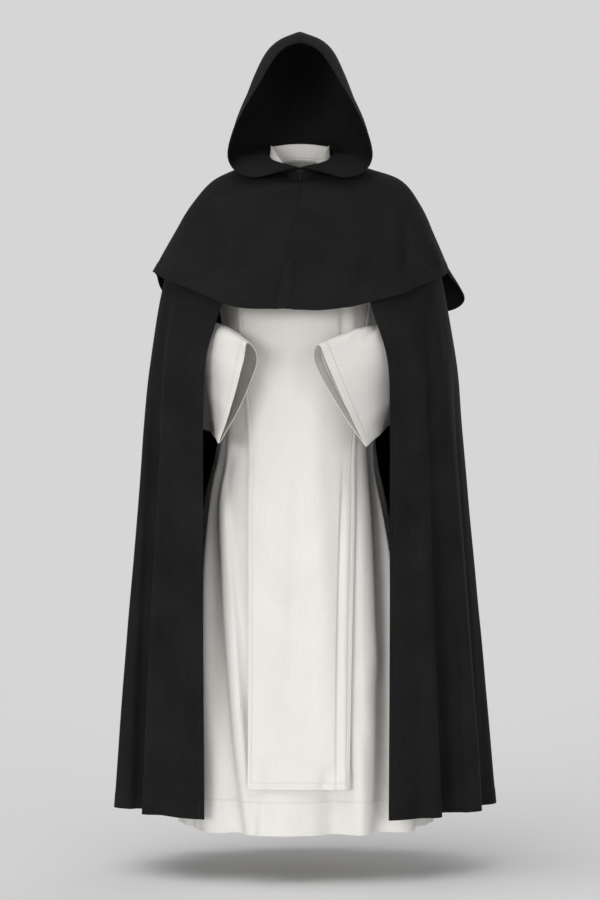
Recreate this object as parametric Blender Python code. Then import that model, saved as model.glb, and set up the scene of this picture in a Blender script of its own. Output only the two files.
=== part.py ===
"""A friar's habit as it is worn, hollow: a white tunic with wide sleeves and a neckband, a white
scapular over it, a black open mantle, and a black shoulder cape with its hood, closed at the throat
by a hook and eye.

Metres, +Z up. The front faces -Y, and left and right are as the habit is worn, so left is +X. Heights
in the tables are above the floor. The origin is on the shoulder line at the neck.
"""

import math
from collections import namedtuple

import bmesh
import bpy
from mathutils import Matrix, Vector

HELD_HEIGHT = 1.480
TUNIC_HEM = 0.100
SCAPULAR_HEM = 0.191
MANTLE_HEM = 0.129

WHITE_WALL = 0.0015
BLACK_WALL = 0.0020
SEAM_GAP = 0.0003
ARMHOLE_GAP = 0.0005
NECK_SEAM_RISE = 0.0006
NECKBAND_RISE = 0.034

# Steps round each panel, and down the pieces between their named rings.
PANEL_STEPS = {
    "tunic_front": 24,
    "tunic_back": 18,
    "neckband": 30,
    "scapular_front": 16,
    "scapular_back": 14,
    "mantle_left": 28,
    "mantle_right": 28,
    "cape_left": 22,
    "cape_right": 22,
}
HOOD_STEPS = 12
YOKE_ROWS = 4
TUNIC_ROWS = 10
SCAPULAR_SHOULDER_PLACES = (0, 0.5, 1, 1.125, 1.25, 1.375, 1.5, 1.75)
SCAPULAR_CHEST_ROWS = 4
SCAPULAR_ROWS = 9
MANTLE_ROWS = 11
CAPE_ROWS = 10
HOOD_THROAT_ROWS = 4
NECKBAND_ROWS = 2
HOOK_STEPS = 8

# How far apart the points lie, in rows and in degrees or shares, that give a surface's slope.
CLOTH_NUDGES = (0.001, 0.05)
HOOD_NUDGES = (0.01, 0.002)

LEFT, RIGHT = 1, -1
FRONT, SIDE, BACK = 0.0, 90.0, 180.0
ROUNDNESS = 0.889

# A ring is one closed section round a garment: heights at its front, sides and back, half its
# width, how far it reaches forwards and backwards, and how far its middle lies to the left.
Ring = namedtuple("Ring", "front side back width front_depth back_depth shift")

TUNIC_RINGS = (
    Ring(1.448, 1.507, 1.517, 0.066, 0.074, 0.060, 0.000),  # neckline
    Ring(1.432, 1.482, 1.490, 0.138, 0.108, 0.098, 0.008),  # yoke
    Ring(1.398, 1.455, 1.446, 0.200, 0.126, 0.114, 0.015),  # shoulder points
    Ring(1.335, 1.403, 1.380, 0.228, 0.136, 0.124, 0.015),  # upper arms
    Ring(1.222, 1.222, 1.222, 0.186, 0.138, 0.120, 0.010),  # underarms
    Ring(1.080, 1.080, 1.080, 0.162, 0.130, 0.112, 0.000),  # waist
    Ring(0.900, 0.900, 0.900, 0.168, 0.140, 0.128, -0.008),  # hips
    Ring(0.750, 0.750, 0.750, 0.196, 0.162, 0.160, -0.010),  # thighs
    Ring(0.450, 0.450, 0.450, 0.232, 0.186, 0.190, 0.000),  # knees
    Ring(TUNIC_HEM, TUNIC_HEM, TUNIC_HEM, 0.260, 0.206, 0.216, 0.012),
)
YOKE, SHOULDER, UNDERARM = 1, 2, 4
TUNIC_END = len(TUNIC_RINGS) - 1
ARMHOLE_CUT = 28.0
ARMHOLE_STEPS = 8

# Each layer over the tunic rests on the shoulder line and stands further off in front and behind.
Lift = namedtuple("Lift", "up out")
SCAPULAR_LIFT = Lift(0.0033, 0.0058)
MANTLE_LIFT = Lift(0.0066, 0.0120)
CAPE_LIFT = Lift(0.0097, 0.0180)
WIDENED = 0.3

# Half the scapular's width and how far its middle lies to the left, at the tunic's rings from the
# shoulder points down.
Span = namedtuple("Span", "half middle")
SCAPULAR_SPANS = (
    Span(0.150, 0.015),
    Span(0.148, 0.015),
    Span(0.142, 0.010),
    Span(0.126, 0.006),
    Span(0.110, 0.005),
    Span(0.109, 0.004),
    Span(0.105, 0.001),
    Span(0.102, -0.004),
)
SCAPULAR_END = 8.67
SCAPULAR_FLARE = 0.008

MANTLE_RINGS = (
    Ring(1.335, 1.402, 1.382, 0.2445, 0.160, 0.146, 0.0135),  # upper arms
    Ring(1.255, 1.318, 1.295, 0.2795, 0.183, 0.166, 0.0095),  # chest
    Ring(1.170, 1.215, 1.200, 0.304, 0.206, 0.182, 0.0065),  # under the cape's hem
    Ring(1.075, 1.075, 1.075, 0.325, 0.234, 0.196, 0.006),  # elbows
    Ring(0.950, 0.950, 0.950, 0.334, 0.234, 0.210, 0.005),  # wrists
    Ring(0.750, 0.750, 0.750, 0.3465, 0.226, 0.228, 0.007),  # thighs
    Ring(0.450, 0.450, 0.450, 0.369, 0.217, 0.262, 0.007),  # knees
    Ring(MANTLE_HEM, 0.139, MANTLE_HEM, 0.389, 0.214, 0.296, 0.010),
)
# How far from the middle each front edge of the mantle hangs, from the neckline to the hem.
MANTLE_EDGES = (0.012, 0.030, 0.062, 0.100, 0.132, 0.158, 0.188, 0.192, 0.191, 0.190, 0.188)
MANTLE_EDGE_SHIFT = -0.0075

CAPE_RINGS = (
    Ring(1.345, 1.412, 1.395, 0.2455, 0.174, 0.158, 0.013),  # upper arms
    Ring(1.268, 1.345, 1.312, 0.2815, 0.198, 0.176, 0.0075),  # chest
    Ring(1.182, 1.272, 1.200, 0.317, 0.219, 0.200, 0.0025),  # hem
)
CAPE_END = SHOULDER + len(CAPE_RINGS)
CAPE_SEAM_TURN = -8.0

# A fold is a ridge, or a trough where its depth is negative: the angle round the ring where it runs
# at the hem, half its breadth in degrees, its depth at the hem, the height where it starts, and how
# far round it drifts on its way down.
Fold = namedtuple("Fold", "angle breadth depth top drift")

TUNIC_FOLDS = (
    Fold(-9, 16, 0.016, 0.22, 0),
    Fold(13, 11, -0.020, 0.34, 0),
    Fold(21, 12, 0.012, 1.00, -36),
    Fold(35, 9, -0.022, 1.05, -40),
    Fold(51, 11, 0.015, 1.05, -30),
    Fold(69, 11, -0.016, 1.00, -14),
    Fold(-20, 10, 0.012, 1.00, 38),
    Fold(-32, 9, -0.022, 1.00, 36),
    Fold(-47, 11, 0.014, 1.00, 26),
    Fold(-70, 12, -0.012, 1.00, 10),
    Fold(94, 10, 0.014, 1.00, 0),
    Fold(112, 11, -0.018, 1.05, 2),
    Fold(131, 11, 0.016, 1.05, 0),
    Fold(151, 10, -0.014, 1.05, 2),
    Fold(172, 11, -0.010, 1.05, 0),
    Fold(-167, 10, -0.014, 1.05, 0),
    Fold(-149, 9, -0.012, 1.05, -2),
    Fold(-131, 11, 0.016, 1.05, 0),
    Fold(-112, 11, -0.018, 1.00, 0),
    Fold(-94, 10, 0.012, 1.00, -2),
)
SCAPULAR_FOLDS = (
    Fold(-26, 14, 0.006, 1.15, 2),
    Fold(14, 11, 0.006, 1.15, 4),
    Fold(148, 14, 0.007, 1.15, 0),
    Fold(178, 16, 0.006, 1.15, 0),
    Fold(-150, 13, 0.007, 1.15, 0),
)
MANTLE_FOLDS = (
    Fold(26, 13, 0.010, 1.10, 0),
    Fold(41, 7, 0.020, 1.22, -4),
    Fold(50, 8, -0.036, 1.24, -4),
    Fold(66, 10, 0.016, 1.15, 2),
    Fold(80, 7, -0.022, 1.10, 2),
    Fold(93, 9, 0.022, 1.20, 0),
    Fold(107, 8, -0.032, 1.24, 0),
    Fold(121, 9, 0.026, 1.24, 0),
    Fold(135, 8, -0.030, 1.26, -2),
    Fold(149, 9, 0.026, 1.24, 0),
    Fold(163, 8, -0.028, 1.26, -2),
    Fold(176, 9, 0.024, 1.24, 0),
    Fold(-36, 14, 0.010, 1.05, 0),
    Fold(-55, 8, 0.022, 1.22, 3),
    Fold(-64, 8, -0.038, 1.26, 3),
    Fold(-79, 10, 0.020, 1.15, 0),
    Fold(-94, 8, -0.024, 1.20, 2),
    Fold(-108, 9, 0.024, 1.22, 0),
    Fold(-122, 8, -0.032, 1.26, 0),
    Fold(-137, 10, 0.028, 1.24, 0),
    Fold(-152, 8, -0.030, 1.26, 2),
    Fold(-166, 8, 0.022, 1.24, 0),
)
CAPE_FOLDS = (
    Fold(-16, 16, 0.008, 1.36, 0),
    Fold(-46, 12, -0.006, 1.42, 0),
    Fold(-62, 14, 0.008, 1.40, 0),
    Fold(9, 12, 0.007, 1.34, 0),
    Fold(24, 10, -0.008, 1.42, -8),
    Fold(38, 10, 0.010, 1.38, 0),
    Fold(50, 8, -0.008, 1.43, 0),
    Fold(64, 14, 0.008, 1.40, 0),
    Fold(90, 8, -0.004, 1.38, 0),
    Fold(106, 12, 0.062, 1.33, 0),
    Fold(128, 14, 0.008, 1.40, 0),
    Fold(146, 13, 0.016, 1.40, 0),
    Fold(166, 11, -0.008, 1.40, 0),
    Fold(-92, 12, -0.006, 1.38, 0),
    Fold(-112, 12, 0.006, 1.40, 0),
    Fold(-134, 12, -0.010, 1.40, 0),
    Fold(-156, 13, 0.016, 1.40, 0),
)

# Where the cape's hem hangs lower: the angle round the ring, half the breadth in degrees, and how
# much lower it is there. The flare is by what share the cape is wider for each metre of that, and
# the start is the place between the rings where it begins.
Dip = namedtuple("Dip", "angle breadth drop")
CAPE_DIPS = (
    Dip(-22, 18, 0.008),
    Dip(6, 9, 0.003),
    Dip(115, 25, 0.065),
    Dip(-122, 22, 0.028),
)
DIP_FLARE = 1.2
DIP_START = SHOULDER + 1

# A sleeve's section: its middle (out from the tunic's middle, back, and height), how the sleeve turns
# there (dropped from straight out, raised forwards, swung inwards), half its breadth, its reach on
# the upper and lower sides, how much narrower the cloth hangs towards its lower side, and how far
# both its flanks bow inwards.
SECTION_SIZES = "out back height drop raised swing breadth upper lower pinch bow"
Section = namedtuple("Section", SECTION_SIZES, defaults=(0.0,))
ARM_SHIFT = 0.013
UPPER_SLEEVE = (
    Section(0.2195, 0.000, 1.314, 12.8, 0, 0, 0.088, 0.070, 0.070, 0.0),
    Section(0.2330, 0.003, 1.280, 26.6, 0, 0, 0.065, 0.068, 0.068, 0.0),
    Section(0.2400, 0.008, 1.2235, 57.0, 0, 0, 0.047, 0.064, 0.064, 0.0),
    Section(0.2440, 0.012, 1.165, 88.0, 8, 4, 0.048, 0.060, 0.062, 0.0),
)
LEFT_FOREARM = (
    Section(0.2430, 0.010, 1.112, 90, 42, 18, 0.050, 0.060, 0.085, 0.1),  # elbow
    Section(0.2060, -0.066, 1.096, 90, 60, 37, 0.045, 0.070, 0.150, 0.5),
    Section(0.1310, -0.160, 1.080, 90, 64, 42, 0.040, 0.072, 0.152, 0.6, 0.006),
    Section(0.0485, -0.255, 1.055, 90, 63, 70, 0.034, 0.058, 0.175, 0.62, 0.034),  # cuff
)
RIGHT_FOREARM = (
    Section(0.2430, 0.010, 1.112, 90, 42, 14, 0.050, 0.060, 0.085, 0.1),
    Section(0.2220, -0.058, 1.096, 90, 62, 26, 0.044, 0.070, 0.150, 0.5),
    Section(0.1780, -0.146, 1.082, 90, 74, 31, 0.037, 0.070, 0.160, 0.6, 0.008),
    Section(0.1338, -0.244, 1.061, 90, 72, 66, 0.034, 0.054, 0.162, 0.62, 0.036),
)
FOREARMS = {LEFT: LEFT_FOREARM, RIGHT: RIGHT_FOREARM}
SLEEVE_END = len(UPPER_SLEEVE + LEFT_FOREARM) - 1
SHARP_ROWS = 3  # at the armhole, where the sleeve turns down

# The hood in rows from the throat up to the crown seam. Each row runs round from the rim to the back
# seam on one curve: the rim's point, a handle at the side, and the height and depth of the back.
HoodRow = namedtuple(
    "HoodRow",
    "rim_out rim_y rim_height side_out side_y side_height back_out back_y back_height",
)
HOOD_ROWS = (
    HoodRow(0.0015, -0.108, 1.483, 0.104, -0.095, 1.506, 0.096, 0.080, 1.540),  # throat
    HoodRow(0.045, -0.128, 1.473, 0.150, -0.105, 1.497, 0.125, 0.088, 1.548),
    HoodRow(0.095, -0.128, 1.462, 0.176, -0.085, 1.502, 0.150, 0.102, 1.560),
    HoodRow(0.135, -0.112, 1.476, 0.175, -0.045, 1.525, 0.158, 0.114, 1.579),
    HoodRow(0.152, -0.095, 1.510, 0.150, -0.005, 1.560, 0.148, 0.123, 1.604),
    HoodRow(0.142, -0.090, 1.560, 0.133, 0.025, 1.615, 0.127, 0.127, 1.635),
    HoodRow(0.115, -0.093, 1.615, 0.121, 0.025, 1.665, 0.110, 0.124, 1.668),
    HoodRow(0.084, -0.100, 1.665, 0.112, 0.008, 1.714, 0.092, 0.114, 1.702),
    HoodRow(0.055, -0.108, 1.712, 0.090, -0.012, 1.760, 0.070, 0.098, 1.736),
    HoodRow(0.030, -0.111, 1.736, 0.056, -0.032, 1.790, 0.044, 0.083, 1.751),
    HoodRow(0.000, -0.112, 1.746, 0.000, -0.050, 1.815, 0.000, 0.066, 1.757),  # crown
)

NOTCH_GAP = 1.0
NOTCH_TURN = 14.0
NOTCH_HEIGHT = 0.35
NECKBAND_LEAN = 0.004

WIRE = 0.0006
EYE_LEG, EYE_BEND = 0.007, 0.0016
HOOK_LEG, HOOK_ARCH = 0.008, 0.0015
FASTENER_DROP = 0.006

WHITE_WOOL = ("white_wool", (0.80, 0.78, 0.74), 0.9)
BLACK_WOOL = ("black_wool", (0.016, 0.016, 0.018), 0.85)
BLACK_WIRE = ("black_wire", (0.03, 0.03, 0.03), 0.4, 0.9)


def clear_scene():
    for item in list(bpy.data.objects):
        bpy.data.objects.remove(item)


def make_material(name, colour, roughness, metallic=0.0):
    material = bpy.data.materials.new(name)
    material.use_nodes = True
    shader = material.node_tree.nodes["Principled BSDF"]
    shader.inputs["Base Color"].default_value = (*colour, 1)
    shader.inputs["Roughness"].default_value = roughness
    shader.inputs["Metallic"].default_value = metallic
    material.diffuse_color = (*colour, 1)
    return material


def spaced(start, end, steps):
    return [start + (end - start) * step / steps for step in range(steps + 1)]


def smooth_between(before, start, end, after, share):
    """A smooth curve through start and end, bent by the points before and after them."""
    bend = 2 * before - 5 * start + 4 * end - after
    turn = 3 * (start - end) + after - before
    return start + 0.5 * share * (end - before + share * (bend + share * turn))


def four_rows(count, place):
    """The four rows of a table nearest to a place between them, and the place's share of its gap."""
    index = max(0, min(int(place), count - 2))
    return [max(0, min(index + step, count - 1)) for step in (-1, 0, 1, 2)], place - index


def row_at(rows, place):
    """The row at a place between the rows of a table, where 0 is the first and 1 the second."""
    near, share = four_rows(len(rows), place)
    return [smooth_between(*values, share) for values in zip(*(rows[index] for index in near))]


def lifted(rings, lift):
    return tuple(
        Ring(
            ring.front + lift.up,
            ring.side + lift.up,
            ring.back + lift.up,
            ring.width + WIDENED * lift.up,
            ring.front_depth + lift.out,
            ring.back_depth + lift.out,
            ring.shift,
        )
        for ring in rings
    )


def powered(value):
    return math.copysign(abs(value) ** ROUNDNESS, value)


def ring_point(ring, angle):
    """The point of a ring at an angle: 0 in front, 90 on the left and 180 behind."""
    sine, cosine = math.sin(math.radians(angle)), math.cos(math.radians(angle))
    depth, end = (ring.front_depth, ring.front) if cosine > 0 else (ring.back_depth, ring.back)
    x = ring.shift + ring.width * powered(sine)
    return Vector((x, -depth * powered(cosine), ring.side + (end - ring.side) * cosine**2))


def angle_of(ring, half):
    """The angle at which a ring is half a width wide."""
    return math.degrees(math.asin(min(1.0, max(0.02, half / ring.width)) ** (1 / ROUNDNESS)))


def hump(distance):
    """1 in the middle, falling smoothly to 0 at a distance of 1."""
    return math.cos(math.pi / 2 * distance) ** 2 if abs(distance) < 1 else 0.0


def fold_depth(folds, angle, height, hem):
    total = 0.0
    for fold in folds:
        run = (fold.top - height) / (fold.top - hem)
        if run > 0:
            away = (angle - fold.angle + fold.drift * (1 - run) + 180) % 360 - 180
            total += fold.depth * min(run, 1.1) ** 0.8 * hump(away / fold.breadth)
    return total


def folded_point(ring, angle, folds, hem):
    """A ring's point, moved straight out of the ring by the folds that run there."""
    point = ring_point(ring, angle)
    across = math.sin(math.radians(angle)) / ring.width
    along = math.cos(math.radians(angle)) / ring.front_depth
    outwards = Vector((across, -along, 0)).normalized()
    return point + fold_depth(folds, angle, point.z, hem) * outwards


def tunic_point(place, angle):
    return folded_point(Ring(*row_at(TUNIC_RINGS, place)), angle, TUNIC_FOLDS, TUNIC_HEM)


def scapular_point(place, angle):
    flare = SCAPULAR_FLARE * max(0.0, (place - UNDERARM) / (SCAPULAR_END - UNDERARM))
    lift = Lift(SCAPULAR_LIFT.up, SCAPULAR_LIFT.out + flare)
    ring = Ring(*row_at(lifted(TUNIC_RINGS, lift), place))
    return folded_point(ring, angle, SCAPULAR_FOLDS, SCAPULAR_HEM)


def layer_ring(lift, rings, place):
    """A ring of an outer layer: the tunic's own down to the shoulder points, then the layer's."""
    return Ring(*row_at(lifted(TUNIC_RINGS[: SHOULDER + 1], lift) + rings, place))


def mantle_point(place, angle):
    return folded_point(layer_ring(MANTLE_LIFT, MANTLE_RINGS, place), angle, MANTLE_FOLDS, MANTLE_HEM)


def cape_point(place, angle):
    ring = layer_ring(CAPE_LIFT, CAPE_RINGS, place)
    point = folded_point(ring, angle, CAPE_FOLDS, CAPE_RINGS[-1].front)
    run = max(0.0, (place - DIP_START) / (CAPE_END - DIP_START))
    for dip in CAPE_DIPS:
        away = (angle - dip.angle + 180) % 360 - 180
        lower = run**2 * dip.drop * hump(away / dip.breadth)
        point.xy *= 1 + DIP_FLARE * lower
        point.z -= lower
    return point


def armhole_place(turn):
    """The place between the rings of a turn round the armhole, from 0 at the underarm."""
    return UNDERARM - (UNDERARM - SHOULDER) * (1 - math.cos(math.radians(turn))) / 2


def armhole_cut(place):
    """How far in degrees the armhole cuts into a front or back panel of the tunic."""
    share = max(0.0, min((UNDERARM - place) / (UNDERARM - SHOULDER), 1.0))
    return ARMHOLE_CUT * math.sin(math.acos(1 - 2 * share))


def scapular_side(place, side):
    """The angle where the scapular ends: at the shoulder line, and lower down at its own edge."""
    if place <= YOKE:
        return SIDE
    ring = Ring(*row_at(TUNIC_RINGS, place))
    if place < SHOULDER:
        return angle_of(ring, ring.width + (place - YOKE) * (SCAPULAR_SPANS[0].half - ring.width))
    span = Span(*row_at(SCAPULAR_SPANS, place - SHOULDER))
    return angle_of(ring, span.half + side * (span.middle - ring.shift))


def mantle_edge(place, side):
    """The angle of the mantle's front edge, measured on its own side."""
    ring = layer_ring(MANTLE_LIFT, MANTLE_RINGS, place)
    edge = row_at([(half,) for half in MANTLE_EDGES], place)[0]
    return angle_of(ring, edge + side * (MANTLE_EDGE_SHIFT * min(1.0, place) - ring.shift))


def cape_seam(place):
    """The angle of the cape's front seam, which turns a little to the right on its way down."""
    return CAPE_SEAM_TURN * place / CAPE_END


def tangents(surface, row, column, nudges=CLOTH_NUDGES):
    """The ways in which a surface runs down its rows and round its columns."""
    row_step, column_step = nudges
    down = surface(row + row_step, column) - surface(row - row_step, column)
    along = surface(row, column + column_step) - surface(row, column - column_step)
    return down.normalized(), along.normalized()


def add_cloth(name, outer, inner, material, closed=False):
    """A wall between two grids of points. A closed one has its last column beside its first."""
    body = bmesh.new()
    outer = [[body.verts.new(point) for point in row] for row in outer]
    inner = [[body.verts.new(point) for point in row] for row in inner]
    columns = len(outer[0])
    spans = [(column, (column + 1) % columns) for column in range(columns if closed else columns - 1)]
    for upper, lower in zip(range(len(outer) - 1), range(1, len(outer))):
        for near, far in spans:
            for layer in (outer, inner):
                top, bottom = layer[upper], layer[lower]
                body.faces.new((top[near], bottom[near], bottom[far], top[far]))
        for end in () if closed else (0, -1):
            body.faces.new((outer[upper][end], outer[lower][end], inner[lower][end], inner[upper][end]))
    for row in (0, -1):
        for near, far in spans:
            body.faces.new((outer[row][near], outer[row][far], inner[row][far], inner[row][near]))
    bmesh.ops.recalc_face_normals(body, faces=body.faces)
    mesh = bpy.data.meshes.new(name)
    body.to_mesh(mesh)
    body.free()
    mesh.materials.append(material)
    mesh.shade_smooth()
    mesh.set_sharp_from_angle(angle=math.radians(60))
    item = bpy.data.objects.new(name, mesh)
    bpy.context.scene.collection.objects.link(item)


def add_panel(name, surface, rows, start, end, wall, material):
    """A piece of cloth cut from a surface between two edges, each half a seam's gap short."""
    steps = PANEL_STEPS[name]
    trims = [SEAM_GAP / 2] + [0.0] * (steps - 1) + [-SEAM_GAP / 2]
    outer, inner = [], []
    for row in rows:
        outer_row, inner_row = [], []
        for angle, trim in zip(spaced(start(row), end(row), steps), trims):
            down, along = tangents(surface, row, angle)
            point = surface(row, angle) + trim * along
            outer_row.append(point)
            inner_row.append(point - wall * down.cross(along).normalized())
        outer.append(outer_row)
        inner.append(inner_row)
    add_cloth(name, outer, inner, material)


def armhole_places():
    return [armhole_place(turn) for turn in spaced(180, 0, ARMHOLE_STEPS)]


def add_tunic(material):
    yoke = spaced(0, SHOULDER, YOKE_ROWS)[:-1]
    rows = yoke + armhole_places() + spaced(UNDERARM, TUNIC_END, TUNIC_ROWS)[1:]
    add_panel(
        "tunic_front",
        tunic_point,
        rows,
        lambda place: FRONT - SIDE + armhole_cut(place),
        lambda place: SIDE - armhole_cut(place),
        WHITE_WALL,
        material,
    )
    add_panel(
        "tunic_back",
        tunic_point,
        rows,
        lambda place: SIDE + armhole_cut(place),
        lambda place: BACK + SIDE - armhole_cut(place),
        WHITE_WALL,
        material,
    )


def section_point(section, turn):
    """A sleeve section's point: 0 is its underarm side, 90 the upper side and 180 the outer side."""
    drop, raised, swing = (math.radians(value) for value in section[3:6])
    along = Vector((math.cos(drop), 0, -math.sin(drop)))
    outwards = Vector((math.sin(drop), 0, math.cos(drop)))
    upwards = Vector((0, -math.cos(raised), 0)) - math.sin(raised) * along
    sine, cosine = math.sin(math.radians(turn)), math.cos(math.radians(turn))
    reach = section.upper if sine > 0 else section.lower
    breadth = section.breadth * (1 - section.pinch * max(0.0, -sine))
    inwards = breadth * powered(cosine) + section.bow * cosine**2
    offset = reach * powered(sine) * upwards - inwards * outwards
    return Vector(section[:3]) + Matrix.Rotation(-swing, 3, "Z") @ offset


def sleeve_surface(side):
    """The sleeve of one side, from its first section at 0, with the tunic's middle at x 0."""
    sections = UPPER_SLEEVE + FOREARMS[side]
    return lambda place, turn: section_point(Section(*row_at(sections, place)), turn)


def armhole_point(side, turn):
    """The armhole's outer point at a turn, as far from the middle as a sleeve's are."""
    place = armhole_place(turn)
    angle = SIDE - armhole_cut(place) if turn < 180 else SIDE + armhole_cut(place)
    point = tunic_point(place, side * angle)
    point.x = side * (point.x - ARM_SHIFT) + ARMHOLE_GAP
    return point


def sleeve_lining(outer, ways):
    """The inner points behind a sleeve's rows.

    The first rows turn sharply, so their own faces tell how the cloth runs, and the edge at the
    armhole doesn't lean into the tunic.
    """
    inner = []
    for number, row in enumerate(outer):
        inner.append([])
        for start, point in enumerate(row):
            if number < SHARP_ROWS:
                down = outer[number + 1][start] - outer[max(0, number - 1)][start]
                along = row[(start + 1) % len(row)] - row[start - 1]
            else:
                down, along = ways[number][start]
            normal = down.cross(along).normalized()
            if number == 0:
                normal.x = min(normal.x, 0.0)
            inner[-1].append(point - WHITE_WALL * normal.normalized())
    return inner


def add_sleeve(side, material):
    surface = sleeve_surface(side)
    turns = spaced(0, 360, 2 * ARMHOLE_STEPS)[:-1]
    outer, ways = [[armhole_point(side, turn) for turn in turns]], [[]]
    for place in spaced(0, SLEEVE_END, 2 * SLEEVE_END):
        outer.append([surface(place, turn) for turn in turns])
        ways.append([tangents(surface, place, turn) for turn in turns])
    inner = sleeve_lining(outer, ways)
    for point in (point for grid in (outer, inner) for row in grid for point in row):
        point.x = ARM_SHIFT + side * point.x
    name = "sleeve_left" if side == LEFT else "sleeve_right"
    add_cloth(name, outer, inner, material, closed=True)


def neckband_point(place, angle):
    """The neckband's outer side, from the tunic's neckline at 0 to its top edge at 1."""
    neck = TUNIC_RINGS[0]
    notch = min(1.0, NOTCH_HEIGHT + (1 - NOTCH_HEIGHT) * min(angle, 360 - angle) / NOTCH_TURN)
    rise = SEAM_GAP + NECKBAND_RISE * notch * place
    inset = SEAM_GAP + NECKBAND_LEAN * place
    ring = Ring(
        neck.front + rise,
        neck.side + rise,
        neck.back + rise,
        neck.width - inset,
        neck.front_depth - inset,
        neck.back_depth - inset,
        neck.shift,
    )
    return ring_point(ring, angle)


def add_neckband(material):
    def downwards(place, angle):
        return neckband_point(1 - place, angle)

    add_panel(
        "neckband",
        downwards,
        spaced(0, 1, NECKBAND_ROWS),
        lambda place: NOTCH_GAP,
        lambda place: 2 * BACK - NOTCH_GAP,
        WHITE_WALL,
        material,
    )


def add_scapular(material):
    chest = spaced(SHOULDER, UNDERARM, SCAPULAR_CHEST_ROWS)[:-1]
    rows = [*SCAPULAR_SHOULDER_PLACES, *chest, *spaced(UNDERARM, SCAPULAR_END, SCAPULAR_ROWS)]
    add_panel(
        "scapular_front",
        scapular_point,
        rows,
        lambda place: -scapular_side(place, RIGHT),
        lambda place: scapular_side(place, LEFT),
        WHITE_WALL,
        material,
    )
    add_panel(
        "scapular_back",
        scapular_point,
        rows,
        lambda place: BACK - scapular_side(place, LEFT),
        lambda place: BACK + scapular_side(place, RIGHT),
        WHITE_WALL,
        material,
    )


def add_mantle(material):
    body = spaced(SHOULDER, SHOULDER + len(MANTLE_RINGS), MANTLE_ROWS)[1:]
    rows = spaced(0, SHOULDER, YOKE_ROWS) + body
    add_panel(
        "mantle_left",
        mantle_point,
        rows,
        lambda place: mantle_edge(place, LEFT),
        lambda place: BACK,
        BLACK_WALL,
        material,
    )
    add_panel(
        "mantle_right",
        mantle_point,
        rows,
        lambda place: BACK,
        lambda place: 2 * BACK - mantle_edge(place, RIGHT),
        BLACK_WALL,
        material,
    )


def add_cape(material):
    rows = spaced(0, CAPE_END, CAPE_ROWS)
    add_panel(
        "cape_left",
        cape_point,
        rows,
        cape_seam,
        lambda place: BACK,
        BLACK_WALL,
        material,
    )
    add_panel(
        "cape_right",
        cape_point,
        rows,
        lambda place: BACK,
        lambda place: 2 * BACK + cape_seam(place),
        BLACK_WALL,
        material,
    )


def hood_row_point(index, share):
    """A hood row's point on the left, from its rim at 0 to its back at 1. Row 0 is the neck seam."""
    if index == 0:
        return cape_point(0, BACK * share) + Vector((0, 0, NECK_SEAM_RISE))
    row = HOOD_ROWS[index - 1]
    rim = Vector((row.rim_out, row.rim_y, row.rim_height))
    side = Vector((row.side_out, row.side_y, row.side_height))
    back = Vector((row.back_out, row.back_y, row.back_height))
    seam = Vector((0, row.back_y, row.back_height))
    rest = 1 - share
    front = rest**3 * rim + 3 * rest**2 * share * side
    return front + 3 * rest * share**2 * back + share**3 * seam


def hood_point(place, share):
    near, between = four_rows(len(HOOD_ROWS) + 1, place)
    return smooth_between(*(hood_row_point(index, share) for index in near), between)


def add_hood(side, material):
    outer, inner = [], []
    for place in [*spaced(0, 2, HOOD_THROAT_ROWS), *range(3, len(HOOD_ROWS) + 1)]:
        shares = spaced(0, 1, HOOD_STEPS)
        outer.append([hood_point(place, share) for share in shares])
        ways = [tangents(hood_point, place, share, HOOD_NUDGES) for share in shares]
        normals = [up.cross(back).normalized() for up, back in ways]
        inner.append([point + BLACK_WALL * normal for point, normal in zip(outer[-1], normals)])
    for point in (point for grid in (outer, inner) for row in grid for point in row):
        point.x = side * max(point.x, SEAM_GAP / 2)
    add_cloth("hood_left" if side == LEFT else "hood_right", outer, inner, material)


def add_wire(name, points, place, material):
    curve = bpy.data.curves.new(name, "CURVE")
    curve.dimensions = "3D"
    curve.bevel_depth = WIRE
    curve.bevel_resolution = 2
    curve.use_fill_caps = True
    spline = curve.splines.new("POLY")
    spline.points.add(len(points) - 1)
    for knot, point in zip(spline.points, points):
        knot.co = (*point, 1)
    curve.materials.append(material)
    item = bpy.data.objects.new(name, curve)
    item.matrix_world = place
    bpy.context.scene.collection.objects.link(item)


def add_throat_fastening(material):
    """A wire eye on the left of the throat, and a hook on the right that arches down into it."""
    throat = hood_point(1, 0)
    upwards = (throat - hood_point(0.5, 0)).normalized()
    forwards = Vector((1, 0, 0)).cross(upwards)
    centre = throat - FASTENER_DROP * upwards + (WIRE + 2 * SEAM_GAP) * forwards
    axes = Matrix((Vector((1, 0, 0)), upwards, forwards)).transposed()
    place = Matrix.LocRotScale(Vector((0, centre.y, centre.z)), axes.to_quaternion(), None)
    turns = [math.radians(angle) for angle in spaced(90, 270, HOOK_STEPS)]
    bend = [(EYE_BEND * (1 + math.cos(turn)), EYE_BEND * math.sin(turn), 0) for turn in turns]
    add_wire("throat_eye", [(EYE_LEG, EYE_BEND, 0), *bend, (EYE_LEG, -EYE_BEND, 0)], place, material)
    arch = [
        (-HOOK_ARCH * math.cos(turn), 0, HOOK_ARCH * math.sin(turn))
        for turn in (math.radians(angle) for angle in spaced(0, 180, HOOK_STEPS))
    ]
    add_wire("throat_hook", [(-HOOK_LEG, 0, 0), *arch], place, material)


def hold_up(height):
    """Hangs every piece on an empty at the floor, so that the origin lies on the shoulder line."""
    floor = bpy.data.objects.new("floor", None)
    floor.location = (0, 0, -height)
    for item in list(bpy.context.scene.collection.objects):
        item.parent = floor
    bpy.context.scene.collection.objects.link(floor)


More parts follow.
